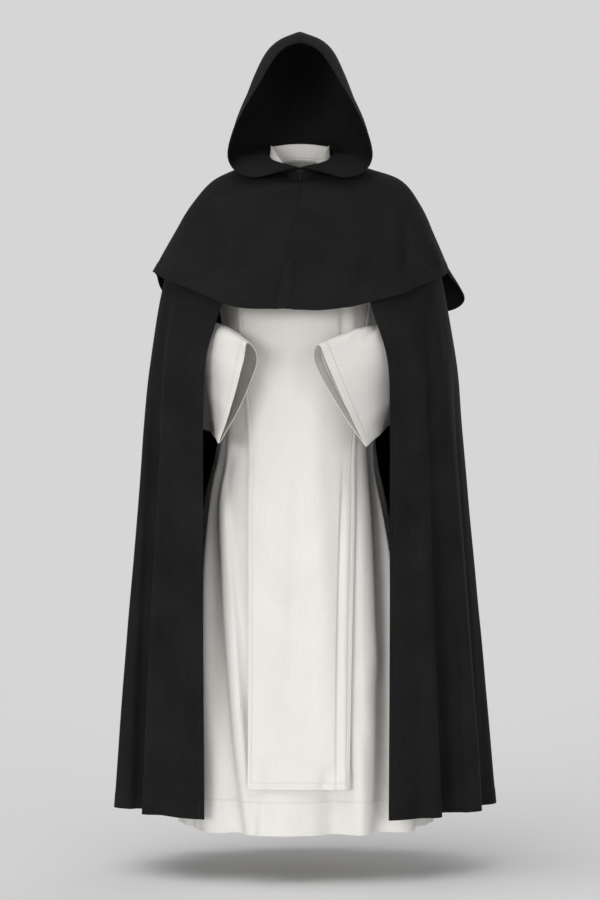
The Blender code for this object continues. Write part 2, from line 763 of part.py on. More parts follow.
def main():
    clear_scene()
    white = make_material(*WHITE_WOOL)
    black = make_material(*BLACK_WOOL)
    add_tunic(white)
    add_neckband(white)
    add_scapular(white)
    add_mantle(black)
    add_cape(black)
    for side in (LEFT, RIGHT):
        add_sleeve(side, white)
        add_hood(side, black)
    add_throat_fastening(make_material(*BLACK_WIRE))
    hold_up(HELD_HEIGHT)


main()
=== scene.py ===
"""Dresses the solids of a friar's habit: worn wool cloth with its folds, hems, seams and stitches.

Metres, +Z up. The front faces -Y, and left and right are as the habit is worn, so left is +X. Heights in
the tables are above the floor, as a tailor marks a hem, and HELD_HEIGHT turns them into the frame's.
"""

import math
from collections import namedtuple

import bpy
import numpy as np
from mathutils import Matrix, Vector


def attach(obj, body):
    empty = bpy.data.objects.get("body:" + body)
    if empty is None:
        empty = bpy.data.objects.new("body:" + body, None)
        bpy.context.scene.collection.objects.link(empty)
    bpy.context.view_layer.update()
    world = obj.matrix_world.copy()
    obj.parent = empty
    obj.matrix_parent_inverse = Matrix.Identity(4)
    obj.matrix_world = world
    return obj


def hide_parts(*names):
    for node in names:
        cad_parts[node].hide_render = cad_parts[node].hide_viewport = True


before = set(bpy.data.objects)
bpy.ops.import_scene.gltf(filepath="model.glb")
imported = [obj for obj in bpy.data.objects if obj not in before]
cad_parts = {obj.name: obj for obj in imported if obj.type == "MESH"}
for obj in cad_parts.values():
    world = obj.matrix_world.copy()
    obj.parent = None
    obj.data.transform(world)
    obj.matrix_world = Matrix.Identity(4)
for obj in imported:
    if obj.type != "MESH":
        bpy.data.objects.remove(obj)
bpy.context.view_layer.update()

HELD_HEIGHT = 1.480
TUNIC_HEM = 0.100
SCAPULAR_HEM = 0.191
MANTLE_HEM = 0.129

WHITE_WALL = 0.0015
BLACK_WALL = 0.0020
SEAM_GAP = 0.0003
ARMHOLE_GAP = 0.0005
NECKBAND_RISE = 0.034

LEFT, RIGHT = 1, -1
SIDE_NAMES = {LEFT: "left", RIGHT: "right"}
FRONT, SIDE, BACK = 0.0, 90.0, 180.0
ROUNDNESS = 0.889  # a ring is an ellipse at 1, and fuller at its corners below that
LEAST_SHARE = 0.02  # of a ring's half width: an edge lies at least that far out


def table(kind, *rows):
    """Rows of sizes as a tuple of one kind."""
    return tuple(kind(*row) for row in rows)


# A ring is one closed section round a garment: heights at its front, sides and back, half its width,
# how far it reaches forwards and backwards, and how far its middle lies to the left.
Ring = namedtuple("Ring", "front side back width front_depth back_depth shift")
WIDTH, FRONT_DEPTH, BACK_DEPTH, SHIFT = 3, 4, 5, 6  # where these sizes stand in it

TUNIC_RINGS = table(
    Ring,
    (1.448, 1.507, 1.517, 0.066, 0.074, 0.060, 0.000),  # neckline
    (1.432, 1.482, 1.490, 0.138, 0.108, 0.098, 0.008),  # yoke
    (1.398, 1.455, 1.446, 0.200, 0.126, 0.114, 0.015),  # shoulder points
    (1.335, 1.403, 1.380, 0.228, 0.136, 0.124, 0.015),  # upper arms
    (1.222, 1.222, 1.222, 0.186, 0.138, 0.120, 0.010),  # underarms
    (1.080, 1.080, 1.080, 0.162, 0.130, 0.112, 0.000),  # waist
    (0.900, 0.900, 0.900, 0.168, 0.140, 0.128, -0.008),  # hips
    (0.750, 0.750, 0.750, 0.196, 0.162, 0.160, -0.010),  # thighs
    (0.450, 0.450, 0.450, 0.232, 0.186, 0.190, 0.000),  # knees
    (TUNIC_HEM, TUNIC_HEM, TUNIC_HEM, 0.260, 0.206, 0.216, 0.012),
)
YOKE, SHOULDER, UNDERARM = 1, 2, 4
TUNIC_END = len(TUNIC_RINGS) - 1
ARMHOLE_CUT = 28.0

# Each layer over the tunic rests on the shoulder line, stands further off in front and behind, and is
# wider by a share of how much higher it lies.
Lift = namedtuple("Lift", "up out")
SCAPULAR_LIFT = Lift(0.0033, 0.0058)
MANTLE_LIFT = Lift(0.0066, 0.0120)
CAPE_LIFT = Lift(0.0097, 0.0180)
WIDENED = 0.3

# Half the scapular's width and how far its middle lies to the left, at the tunic's rings from the
# shoulder points down. Its hem hangs between two of those rings, and it flares from the underarms down.
Span = namedtuple("Span", "half middle")
SCAPULAR_SPANS = table(
    Span,
    (0.150, 0.015),
    (0.148, 0.015),
    (0.142, 0.010),
    (0.126, 0.006),
    (0.110, 0.005),
    (0.109, 0.004),
    (0.105, 0.001),
    (0.102, -0.004),
)
SCAPULAR_END = 8.67
SCAPULAR_FLARE = 0.008

MANTLE_RINGS = table(
    Ring,
    (1.335, 1.402, 1.382, 0.2445, 0.160, 0.146, 0.0135),  # upper arms
    (1.255, 1.318, 1.295, 0.2795, 0.183, 0.166, 0.0095),  # chest
    (1.170, 1.215, 1.200, 0.304, 0.206, 0.182, 0.0065),  # under the cape's hem
    (1.075, 1.075, 1.075, 0.325, 0.234, 0.196, 0.006),  # elbows
    (0.950, 0.950, 0.950, 0.334, 0.234, 0.210, 0.005),  # wrists
    (0.750, 0.750, 0.750, 0.3465, 0.226, 0.228, 0.007),  # thighs
    (0.450, 0.450, 0.450, 0.369, 0.217, 0.262, 0.007),  # knees
    (MANTLE_HEM, 0.139, MANTLE_HEM, 0.389, 0.214, 0.296, 0.010),
)
# How far from their middle both front edges of the mantle hang, from the neckline to the hem. From the
# yoke down that middle lies a little to the right.
MANTLE_EDGES = (0.012, 0.030, 0.062, 0.100, 0.132, 0.158, 0.188, 0.192, 0.191, 0.190, 0.188)
MANTLE_EDGE_SHIFT = -0.0075

CAPE_RINGS = table(
    Ring,
    (1.345, 1.412, 1.395, 0.2455, 0.174, 0.158, 0.013),  # upper arms
    (1.268, 1.345, 1.312, 0.2815, 0.198, 0.176, 0.0075),  # chest
    (1.182, 1.272, 1.200, 0.317, 0.219, 0.200, 0.0025),  # hem
)
CAPE_HEM = CAPE_RINGS[-1].front
CAPE_SEAM_TURN = -8.0
CAPE_END = SHOULDER + len(CAPE_RINGS)
MANTLE_END = SHOULDER + len(MANTLE_RINGS)

# A fold is a ridge, or a trough where its depth is negative: the angle round the ring where it runs at
# the hem, half its breadth in degrees, its depth at the hem, the height where it starts, and how far
# round it drifts on its way down. These are the large folds, which the solids have too.
Fold = namedtuple("Fold", "angle breadth depth top drift")

TUNIC_FOLDS = table(
    Fold,
    (-9, 16, 0.016, 0.22, 0),
    (13, 11, -0.020, 0.34, 0),
    (21, 12, 0.012, 1.00, -36),
    (35, 9, -0.022, 1.05, -40),
    (51, 11, 0.015, 1.05, -30),
    (69, 11, -0.016, 1.00, -14),
    (-20, 10, 0.012, 1.00, 38),
    (-32, 9, -0.022, 1.00, 36),
    (-47, 11, 0.014, 1.00, 26),
    (-70, 12, -0.012, 1.00, 10),
    (94, 10, 0.014, 1.00, 0),
    (112, 11, -0.018, 1.05, 2),
    (131, 11, 0.016, 1.05, 0),
    (151, 10, -0.014, 1.05, 2),
    (172, 11, -0.010, 1.05, 0),
    (-167, 10, -0.014, 1.05, 0),
    (-149, 9, -0.012, 1.05, -2),
    (-131, 11, 0.016, 1.05, 0),
    (-112, 11, -0.018, 1.00, 0),
    (-94, 10, 0.012, 1.00, -2),
)
SCAPULAR_FOLDS = table(
    Fold,
    (-26, 14, 0.006, 1.15, 2),
    (14, 11, 0.006, 1.15, 4),
    (148, 14, 0.007, 1.15, 0),
    (178, 16, 0.006, 1.15, 0),
    (-150, 13, 0.007, 1.15, 0),
)
MANTLE_FOLDS = table(
    Fold,
    (26, 13, 0.010, 1.10, 0),
    (41, 7, 0.020, 1.22, -4),
    (50, 8, -0.036, 1.24, -4),
    (66, 10, 0.016, 1.15, 2),
    (80, 7, -0.022, 1.10, 2),
    (93, 9, 0.022, 1.20, 0),
    (107, 8, -0.032, 1.24, 0),
    (121, 9, 0.026, 1.24, 0),
    (135, 8, -0.030, 1.26, -2),
    (149, 9, 0.026, 1.24, 0),
    (163, 8, -0.028, 1.26, -2),
    (176, 9, 0.024, 1.24, 0),
    (-36, 14, 0.010, 1.05, 0),
    (-55, 8, 0.022, 1.22, 3),
    (-64, 8, -0.038, 1.26, 3),
    (-79, 10, 0.020, 1.15, 0),
    (-94, 8, -0.024, 1.20, 2),
    (-108, 9, 0.024, 1.22, 0),
    (-122, 8, -0.032, 1.26, 0),
    (-137, 10, 0.028, 1.24, 0),
    (-152, 8, -0.030, 1.26, 2),
    (-166, 8, 0.022, 1.24, 0),
)
CAPE_FOLDS = table(
    Fold,
    (-16, 16, 0.008, 1.36, 0),
    (-46, 12, -0.006, 1.42, 0),
    (-62, 14, 0.008, 1.40, 0),
    (9, 12, 0.007, 1.34, 0),
    (24, 10, -0.008, 1.42, -8),
    (38, 10, 0.010, 1.38, 0),
    (50, 8, -0.008, 1.43, 0),
    (64, 14, 0.008, 1.40, 0),
    (90, 8, -0.004, 1.38, 0),
    (106, 12, 0.062, 1.33, 0),
    (128, 14, 0.008, 1.40, 0),
    (146, 13, 0.016, 1.40, 0),
    (166, 11, -0.008, 1.40, 0),
    (-92, 12, -0.006, 1.38, 0),
    (-112, 12, 0.006, 1.40, 0),
    (-134, 12, -0.010, 1.40, 0),
    (-156, 13, 0.016, 1.40, 0),
)
# A fold's run is 0 where it starts and 1 at the hem, and its depth grows with this power of it.
MOST_RUN = 1.1
FOLD_GROWTH = 0.8

# Where the cape's hem hangs lower: the angle round the ring, half the breadth in degrees, and how
# much lower it is there. The flare is by what share the cape is wider for each metre of that, and
# the start is the ring where it begins.
Dip = namedtuple("Dip", "angle breadth drop")
CAPE_DIPS = table(
    Dip,
    (-22, 18, 0.008),
    (6, 9, 0.003),
    (115, 25, 0.065),
    (-122, 22, 0.028),
)
DIP_FLARE = 1.2
DIP_START = SHOULDER + 1

# A sleeve's section: its middle (out from the tunic's middle, back, and height), how the sleeve turns
# there (dropped from straight out, raised forwards, swung inwards), half its breadth, its reach on the
# upper and lower sides, how much narrower the cloth hangs towards its lower side, and how far both its
# flanks bow inwards.
SECTION_SIZES = "out back height drop raised swing breadth upper lower pinch bow"
Section = namedtuple("Section", SECTION_SIZES, defaults=(0.0,))
SLEEVE_SHIFT = 0.013
UPPER_SLEEVE = table(
    Section,
    (0.2195, 0.000, 1.314, 12.8, 0, 0, 0.088, 0.070, 0.070, 0.0),
    (0.2330, 0.003, 1.280, 26.6, 0, 0, 0.065, 0.068, 0.068, 0.0),
    (0.2400, 0.008, 1.2235, 57.0, 0, 0, 0.047, 0.064, 0.064, 0.0),
    (0.2440, 0.012, 1.165, 88.0, 8, 4, 0.048, 0.060, 0.062, 0.0),
)
LOWER_SLEEVES = {
    LEFT: table(
        Section,
        (0.2430, 0.010, 1.112, 90, 42, 18, 0.050, 0.060, 0.085, 0.1),  # elbow
        (0.2060, -0.066, 1.096, 90, 60, 37, 0.045, 0.070, 0.150, 0.5),
        (0.1310, -0.160, 1.080, 90, 64, 42, 0.040, 0.072, 0.152, 0.6, 0.006),
        (0.0485, -0.255, 1.055, 90, 63, 70, 0.034, 0.058, 0.175, 0.62, 0.034),  # cuff
    ),
    RIGHT: table(
        Section,
        (0.2430, 0.010, 1.112, 90, 42, 14, 0.050, 0.060, 0.085, 0.1),
        (0.2220, -0.058, 1.096, 90, 62, 26, 0.044, 0.070, 0.150, 0.5),
        (0.1780, -0.146, 1.082, 90, 74, 31, 0.037, 0.070, 0.160, 0.6, 0.008),
        (0.1338, -0.244, 1.061, 90, 72, 66, 0.034, 0.054, 0.162, 0.62, 0.036),
    ),
}
SLEEVE_END = len(UPPER_SLEEVE + LOWER_SLEEVES[LEFT]) - 1

# The hood in rows from the throat up to the crown seam. Each row runs round from the rim to the back
# seam on one curve, which the rim's point and a handle at the side and at the back draw. All three are
# given by how far out, how far back and how high they lie.
HoodRow = namedtuple("HoodRow", "rim side back")
HOOD_ROWS = table(
    HoodRow,
    ((0.0002, -0.108, 1.483), (0.104, -0.095, 1.506), (0.096, 0.080, 1.540)),  # throat
    ((0.045, -0.128, 1.473), (0.150, -0.105, 1.497), (0.125, 0.088, 1.548)),
    ((0.095, -0.128, 1.462), (0.176, -0.085, 1.502), (0.150, 0.102, 1.560)),
    ((0.135, -0.112, 1.476), (0.175, -0.045, 1.525), (0.158, 0.114, 1.579)),
    ((0.152, -0.095, 1.510), (0.150, -0.005, 1.560), (0.148, 0.123, 1.604)),
    ((0.142, -0.090, 1.560), (0.133, 0.025, 1.615), (0.127, 0.127, 1.635)),
    ((0.115, -0.093, 1.615), (0.121, 0.025, 1.665), (0.110, 0.124, 1.668)),
    ((0.084, -0.100, 1.665), (0.112, 0.008, 1.714), (0.092, 0.114, 1.702)),
    ((0.055, -0.108, 1.712), (0.090, -0.012, 1.760), (0.070, 0.098, 1.736)),
    ((0.030, -0.111, 1.736), (0.056, -0.032, 1.790), (0.044, 0.083, 1.751)),
    ((0.000, -0.112, 1.746), (0.000, -0.050, 1.815), (0.000, 0.066, 1.757)),  # crown
)

# The neckband's notch in front: half its gap in degrees, the angle from which the band has its whole
# height, and the share of that height that is left in the middle. The band's top edge leans in.
NOTCH_GAP = 1.0
NOTCH_TURN = 14.0
NOTCH_HEIGHT = 0.35
NECKBAND_LEAN = 0.004

# A crease is one of the smaller folds, laid along a line: how far left of the middle and how
# high it starts and ends, its breadth and depth, how far its middle bends to the left, and how much
# broader it is on the left than on the right. A pull is such a line on a sleeve or a hood, from one row
# and turn or share to another.
Crease = namedtuple("Crease", "start_x start_height end_x end_height breadth depth bend lean")
Pull = namedtuple("Pull", "start_row start_turn end_row end_turn breadth depth")

TUNIC_FRONT_CREASES = table(
    Crease,
    (-0.166, 0.880, -0.118, 0.230, 0.016, 0.009, 0.006, -0.65),
    (-0.190, 0.860, -0.150, 0.200, 0.020, -0.007, 0.004, 0.0),
    (-0.140, 0.900, -0.158, 0.770, 0.009, -0.005, -0.004, 0.3),
    (-0.112, 0.420, -0.098, 0.100, 0.010, -0.007, 0.000, 0.4),
    (0.150, 0.930, 0.172, 0.420, 0.014, -0.011, 0.006, 0.4),
    (0.176, 0.480, 0.188, 0.100, 0.016, -0.010, 0.004, -0.3),
    (0.128, 0.860, 0.132, 0.260, 0.012, 0.004, -0.004, 0.2),
    (0.120, 0.330, 0.124, 0.100, 0.014, 0.006, 0.003, 0.0),
    (-0.112, 1.205, -0.100, 1.030, 0.012, 0.004, 0.004, 0.3),
    (0.118, 1.215, 0.104, 1.040, 0.013, 0.004, -0.004, -0.3),
    (-0.070, 0.230, -0.082, 0.100, 0.014, 0.005, 0.000, 0.5),
    (0.060, 0.250, 0.070, 0.100, 0.016, -0.005, 0.003, -0.4),
)
TUNIC_BACK_CREASES = table(
    Crease,
    (-0.150, 1.020, -0.170, 0.420, 0.014, -0.007, 0.006, 0.4),
    (-0.120, 0.820, -0.145, 0.160, 0.016, 0.006, -0.004, -0.3),
    (0.135, 1.040, 0.160, 0.300, 0.015, -0.008, -0.006, -0.4),
    (0.170, 0.640, 0.195, 0.110, 0.014, 0.006, 0.004, 0.3),
    (-0.060, 1.080, -0.050, 0.900, 0.016, -0.004, 0.003, 0.0),
    (0.070, 1.090, 0.062, 0.880, 0.018, -0.004, -0.003, 0.0),
    (0.030, 0.500, 0.045, 0.110, 0.018, 0.006, 0.004, 0.3),
    (-0.030, 0.420, -0.045, 0.110, 0.016, -0.005, -0.004, 0.0),
)
SCAPULAR_FRONT_CREASES = table(
    Crease,
    (0.092, 0.905, 0.076, 0.205, 0.0065, -0.0055, -0.004, 0.55),
    (0.098, 0.880, 0.090, 0.210, 0.008, 0.0030, -0.002, 0.0),
    (-0.004, 0.940, -0.024, 0.330, 0.024, -0.0035, 0.004, 0.3),
    (-0.062, 0.900, -0.066, 0.260, 0.026, 0.0028, -0.003, 0.0),
    (0.040, 0.820, 0.036, 0.250, 0.020, 0.0022, 0.004, 0.3),
    (0.084, 1.230, 0.090, 1.060, 0.010, -0.0050, 0.003, 0.4),
    (0.104, 1.230, 0.108, 1.080, 0.010, 0.0028, 0.003, -0.2),
    (-0.050, 1.200, -0.046, 1.020, 0.018, -0.0018, 0.004, 0.0),
    (0.022, 1.190, 0.020, 1.000, 0.022, -0.0018, -0.004, 0.0),
    (0.058, 0.245, 0.046, 0.190, 0.016, -0.0060, 0.000, 0.4),
    (0.090, 0.240, 0.086, 0.190, 0.014, 0.0060, 0.000, 0.0),
    (-0.078, 0.300, -0.084, 0.190, 0.018, 0.0030, 0.000, 0.0),
)
SCAPULAR_BACK_CREASES = table(
    Crease,
    (-0.080, 1.150, -0.070, 0.420, 0.016, -0.0035, 0.005, 0.4),
    (0.072, 1.120, 0.080, 0.300, 0.015, -0.0035, -0.005, -0.4),
    (0.010, 0.980, 0.004, 0.210, 0.022, 0.0030, 0.004, 0.2),
    (-0.040, 0.600, -0.046, 0.200, 0.014, 0.0030, 0.003, 0.0),
    (0.046, 1.330, 0.030, 1.140, 0.020, -0.0020, 0.004, 0.0),
)
MANTLE_FRONT_CREASES = table(
    Crease,
    (-0.300, 1.160, -0.346, 0.140, 0.012, -0.0080, -0.006, 0.6),
    (-0.262, 1.150, -0.276, 0.900, 0.018, 0.0050, 0.006, 0.0),
    (-0.240, 1.180, -0.226, 0.960, 0.014, -0.0045, 0.004, 0.3),
    (-0.236, 0.840, -0.244, 0.180, 0.024, 0.0035, 0.006, 0.0),
    (0.262, 1.190, 0.268, 0.930, 0.013, -0.0065, 0.005, 0.4),
    (0.284, 1.200, 0.292, 0.860, 0.014, 0.0070, 0.004, -0.3),
    (0.292, 1.150, 0.338, 0.140, 0.013, -0.0080, 0.006, -0.6),
    (0.228, 0.900, 0.246, 0.200, 0.022, 0.0035, -0.006, 0.0),
    (0.206, 1.130, 0.214, 0.980, 0.015, -0.0040, -0.004, 0.0),
    (0.376, 0.700, 0.392, 0.140, 0.014, -0.0060, 0.004, 0.3),
)
MANTLE_BACK_CREASES = table(
    Crease,
    (-0.220, 1.150, -0.250, 0.560, 0.016, -0.0060, 0.010, 0.4),
    (-0.120, 1.140, -0.150, 0.420, 0.018, 0.0060, -0.010, -0.3),
    (0.060, 1.160, 0.074, 0.500, 0.017, -0.0055, 0.008, 0.4),
    (0.190, 1.120, 0.226, 0.360, 0.018, 0.0060, 0.010, 0.2),
    (0.270, 1.000, 0.320, 0.200, 0.016, -0.0060, -0.008, -0.4),
    (-0.040, 0.820, -0.052, 0.180, 0.018, 0.0050, 0.006, 0.3),
    (-0.300, 0.900, -0.330, 0.200, 0.015, 0.0050, 0.006, 0.0),
)
CAPE_FRONT_CREASES = table(
    Crease,
    (0.196, 1.400, 0.116, 1.216, 0.019, -0.0070, 0.008, -0.3),
    (0.222, 1.394, 0.220, 1.230, 0.010, -0.0060, 0.004, -0.4),
    (0.160, 1.370, 0.150, 1.220, 0.022, 0.0040, 0.004, 0.0),
    (-0.002, 1.320, -0.007, 1.192, 0.007, -0.0030, 0.000, 0.0),
    (-0.022, 1.300, -0.030, 1.192, 0.012, 0.0024, 0.000, 0.0),
    (-0.224, 1.360, -0.232, 1.270, 0.012, -0.0035, 0.003, 0.3),
    (-0.120, 1.330, -0.140, 1.210, 0.026, 0.0030, 0.004, 0.0),
    (0.268, 1.340, 0.300, 1.270, 0.012, 0.0040, 0.002, 0.0),
    (-0.060, 1.420, -0.110, 1.330, 0.022, -0.0016, 0.006, 0.0),
    (0.052, 1.424, 0.100, 1.340, 0.022, -0.0018, -0.006, 0.0),
)
CAPE_BACK_CREASES = table(
    Crease,
    (-0.160, 1.390, -0.210, 1.240, 0.016, -0.0055, 0.006, 0.3),
    (-0.070, 1.400, -0.094, 1.220, 0.018, 0.0045, 0.005, -0.2),
    (0.060, 1.410, 0.082, 1.220, 0.017, -0.0045, -0.005, 0.3),
    (0.150, 1.390, 0.196, 1.240, 0.018, 0.0050, 0.006, 0.0),
    (0.236, 1.360, 0.276, 1.270, 0.014, -0.0045, 0.004, 0.0),
)
SLEEVE_PULLS = {
    LEFT: table(
        Pull,
        (4.9, 106, 5.5, 150, 0.010, -0.0060),
        (5.1, 96, 5.9, 168, 0.009, 0.0050),
        (5.5, 92, 6.2, 140, 0.008, -0.0045),
        (6.0, 88, 6.5, 128, 0.007, 0.0035),
        (4.2, 150, 5.4, 214, 0.014, -0.0070),
        (4.3, 182, 5.6, 240, 0.014, 0.0055),
        (4.6, 230, 6.4, 262, 0.018, -0.0050),
        (5.2, 205, 6.9, 232, 0.020, 0.0040),
        (4.0, 30, 5.0, 330, 0.013, -0.0050),
        (4.8, 20, 6.6, 300, 0.018, 0.0040),
        (3.0, 60, 3.9, 140, 0.012, -0.0040),
        (3.2, 210, 4.0, 300, 0.012, -0.0040),
    ),
    RIGHT: table(
        Pull,
        (4.8, 110, 5.6, 160, 0.011, -0.0055),
        (5.2, 94, 6.0, 158, 0.010, 0.0040),
        (4.2, 160, 5.5, 222, 0.014, -0.0065),
        (4.4, 190, 5.8, 248, 0.015, 0.0050),
        (5.0, 222, 6.7, 258, 0.018, -0.0055),
        (5.6, 200, 7.0, 214, 0.022, 0.0035),
        (4.1, 34, 5.1, 326, 0.013, -0.0050),
        (5.0, 18, 6.7, 304, 0.018, 0.0040),
        (3.0, 70, 3.9, 150, 0.012, -0.0040),
        (3.2, 216, 4.0, 306, 0.012, -0.0040),
    ),
}
HOOD_PULLS = {
    LEFT: table(
        Pull,
        (8.0, 0.05, 4.2, 0.30, 0.012, 0.0018),
        (7.2, 0.16, 4.0, 0.46, 0.014, -0.0050),
        (2.0, 0.30, 4.2, 0.66, 0.014, -0.0045),
        (1.2, 0.50, 3.8, 0.84, 0.013, 0.0045),
        (1.0, 0.74, 3.2, 0.96, 0.012, -0.0040),
        (6.0, 0.62, 4.2, 0.94, 0.016, -0.0035),
    ),
    RIGHT: table(
        Pull,
        (8.2, 0.08, 5.0, 0.26, 0.013, 0.0015),
        (6.8, 0.20, 3.8, 0.50, 0.014, -0.0045),
        (1.8, 0.26, 4.0, 0.60, 0.014, -0.0045),
        (1.2, 0.48, 3.6, 0.80, 0.013, 0.0045),
        (1.0, 0.70, 3.0, 0.94, 0.012, -0.0040),
        (5.8, 0.66, 4.4, 0.92, 0.016, -0.0035),
    ),
}
PULL_STEPS = 28  # points along a pull's line
THROAT_ROWS = 15  # the hood's rows below its rim's point, which have no stitches

DENSE = 400  # places along a surface from which evenly spaced ones are read

# A crease swells over the first part of its line and dies away over the last, unless it reaches the hem.
FADE_IN = 0.30
FADE_OUT = 0.25
HEM_REACH = 0.04
SIDE_BLEND = 0.03

RIPPLE_WIDTH = 0.13
RIPPLE_LENGTH = 0.31
RIPPLE_DEPTH = 0.0008

# Cloth is flat for a little way from a seam and sinks into it, and is a layer thicker inside a hem.
SEAM_QUIET = 0.018
SEAM_SINK = 0.0009
CAPE_SEAM_SINK = 0.0022
SEAM_BREADTH = 0.004
HEM_THICKNESS = 0.0006
HEM_STEP = 0.0012
EDGE_SHARES = (0.004, 0.012, 0.025, 0.042)
SHARP_ANGLE = math.radians(50)

STITCH_RADIUS = 0.0005
STITCH_LENGTH = 0.0042
STITCH_PITCH = 0.0062
STITCH_RISE = 0.0001

# How deep each hem is turned, which is where its stitches run.
TUNIC_HEM_DEPTH = 0.068
SCAPULAR_HEM_DEPTH = 0.013
SCAPULAR_SIDE_HEM = 0.008
MANTLE_HEM_DEPTH = 0.030
FRONT_EDGE_HEM = 0.010
CAPE_HEM_DEPTH = 0.022
CUFF_HEM_DEPTH = 0.020
HOOD_RIM_HEM = 0.012
NECKBAND_STITCH_INSET = 0.003
NECK_ALLOWANCE = 0.008

# The cloth's pattern. Its twill rib is 1.1 mm apart and its nap 0.3 mm long, too fine to show from here,
# so both are drawn coarser.
TWILL_PITCH = 0.0026
TWILL_SCALE = 2 * math.pi / (10 * math.sqrt(2) * TWILL_PITCH)  # which draws the ribs a pitch apart
NAP_SIZE = 0.0022
CLOUD_SIZE = 0.12
THREAD_STRETCH = (1 / 0.0016, 1 / 0.06, 1)
TONE_PARTS = (0.26, 0.22, 0.52)
TONE_STOPS = (0.40, 0.50, 0.60)
RELIEF_PARTS = (0.4, 0.2, 1.0)
GROOVE_BREADTH = 0.0030
GROOVE_DEPTH = 0.0008
WOOL_ROUGHNESS = 0.92
WOOL_IOR = 1.5
THREAD_FIBRE = 0.0004
LACQUER_SPECK = 0.0003
MIXED_FROM, MIXED_TO, MIXED = 6, 7, 2  # a Mix node's two colours, and what it makes of them

FLOOR_SIZE = 4000
FLOOR_COLOUR = "#f5f5f5"
STUDIO_COLOUR = "#d6d6d6"
SKY_LIGHT = 0.5  # how much of the brightness that it shows the wall sheds on the habit
# The studio's soft lights: where each shines, its strength and how many degrees wide it is.
Lamp = namedtuple("Lamp", "name towards energy spread")
LAMPS = table(
    Lamp,
    ("key", (0.5, 1.0, -0.08), 1.22, 22),
    ("fill", (-0.5, 1.0, 0.0), 0.8, 34),
    ("top", (0.3, 0.3, -1.0), 0.95, 60),
    ("back", (-0.3, -1.0, -0.35), 0.7, 60),
)

# Each sheet of cloth: the width, length and area it was cut to, how it hangs, what it rests on, the
# points across and down its grid, and the phase of its ripples.
Sheet = namedtuple("Sheet", "width length area held rests_on across down phase")
TUNIC = ("tunic_front", "tunic_back")
SHEETS = {
    "tunic_front": Sheet(0.82, 1.46, 0.80, "hung", (), 150, 150, 0.4),
    "tunic_back": Sheet(0.84, 1.46, 0.82, "hung", (), 120, 130, 2.2),
    "neckband": Sheet(0.42, 0.05, 0.015, "folded", TUNIC, 140, 12, 0.0),
    "scapular_front": Sheet(0.32, 1.34, 0.32, "draped", ("tunic_front",), 96, 170, 1.1),
    "scapular_back": Sheet(0.32, 1.34, 0.32, "draped", ("tunic_back",), 80, 150, 2.9),
    "mantle_left": Sheet(1.30, 1.46, 1.05, "draped", TUNIC, 150, 160, 0.9),
    "mantle_right": Sheet(1.30, 1.46, 1.05, "draped", TUNIC, 150, 160, 3.3),
    "cape_left": Sheet(0.60, 0.48, 0.22, "draped", ("mantle_left",), 120, 90, 0.2),
    "cape_right": Sheet(0.60, 0.48, 0.22, "draped", ("mantle_right",), 120, 90, 1.7),
    "sleeve_left": Sheet(0.56, 0.62, 0.27, "hung", TUNIC, 144, 120, 3.0),
    "sleeve_right": Sheet(0.56, 0.62, 0.27, "hung", TUNIC, 144, 120, 1.0),
    "hood_left": Sheet(0.42, 0.42, 0.12, "draped", ("cape_left",), 80, 130, 5.0),
    "hood_right": Sheet(0.42, 0.42, 0.12, "draped", ("cape_right",), 80, 130, 3.0),
}
# A cloth's wool and thread, the name of a slot, and its thickness.
Cloth = namedtuple("Cloth", "wool thread slot wall")

CAMERA_PLACE = (0, -5.8, -0.587)
CAMERA_LENS = 108.8
SENSOR = 36.0


def read_rows(rows, place):
    """A table's values at places between its rows, on a smooth curve that runs through all of them."""
    values = np.asarray(rows, dtype=float)
    near = np.clip(np.floor(place).astype(int), 0, len(values) - 2)
    share = (place - near).reshape(place.shape + (1,) * (values.ndim - 1))
    before, start, end, after = (values[np.clip(near + step, 0, len(values) - 1)] for step in (-1, 0, 1, 2))
    bend = 2 * before - 5 * start + 4 * end - after
    turn = 3 * (start - end) + after - before
    return start + 0.5 * share * (end - before + share * (bend + share * turn))


def stepped(ring, *steps):
    """A ring with a step added to each of its sizes."""
    return Ring(*(size + step for size, step in zip(ring, steps)))


def lifted(rings, lift):
    up, out = lift
    return tuple(stepped(ring, up, up, up, WIDENED * up, out, out, 0) for ring in rings)


def wrapped(angle):
    """An angle as one between -180 and 180."""
    return (angle + 180) % 360 - 180


def powered(value):
    """A sine or cosine that draws a ring a little fuller than an ellipse."""
    return np.sign(value) * np.abs(value) ** ROUNDNESS


def hump(distance):
    """1 in the middle, falling smoothly to 0 at a distance of 1."""
    return np.cos(np.pi / 2 * np.clip(distance, -1, 1)) ** 2


def ring_points(ring, angle):
    """Points of rings at angles: 0 in front, 90 on the left and 180 behind."""
    front, side, back, width, front_depth, back_depth, shift = np.moveaxis(ring, -1, 0)
    sine, cosine = np.sin(np.radians(angle)), np.cos(np.radians(angle))
    depth = np.where(cosine > 0, front_depth, back_depth)
    end = np.where(cosine > 0, front, back)
    x = shift + width * powered(sine)
    return np.stack((x, -depth * powered(cosine), side + (end - side) * cosine**2), axis=-1)


def fold_depths(folds, angle, height, hem):
    """How far folds move points out of their rings."""
    total = np.zeros(np.broadcast(angle, height).shape)
    for fold in folds:
        run = (fold.top - height) / (fold.top - hem)
        away = wrapped(angle - fold.angle + fold.drift * (1 - run))
        total += fold.depth * np.clip(run, 0, MOST_RUN) ** FOLD_GROWTH * hump(away / fold.breadth)
    return total


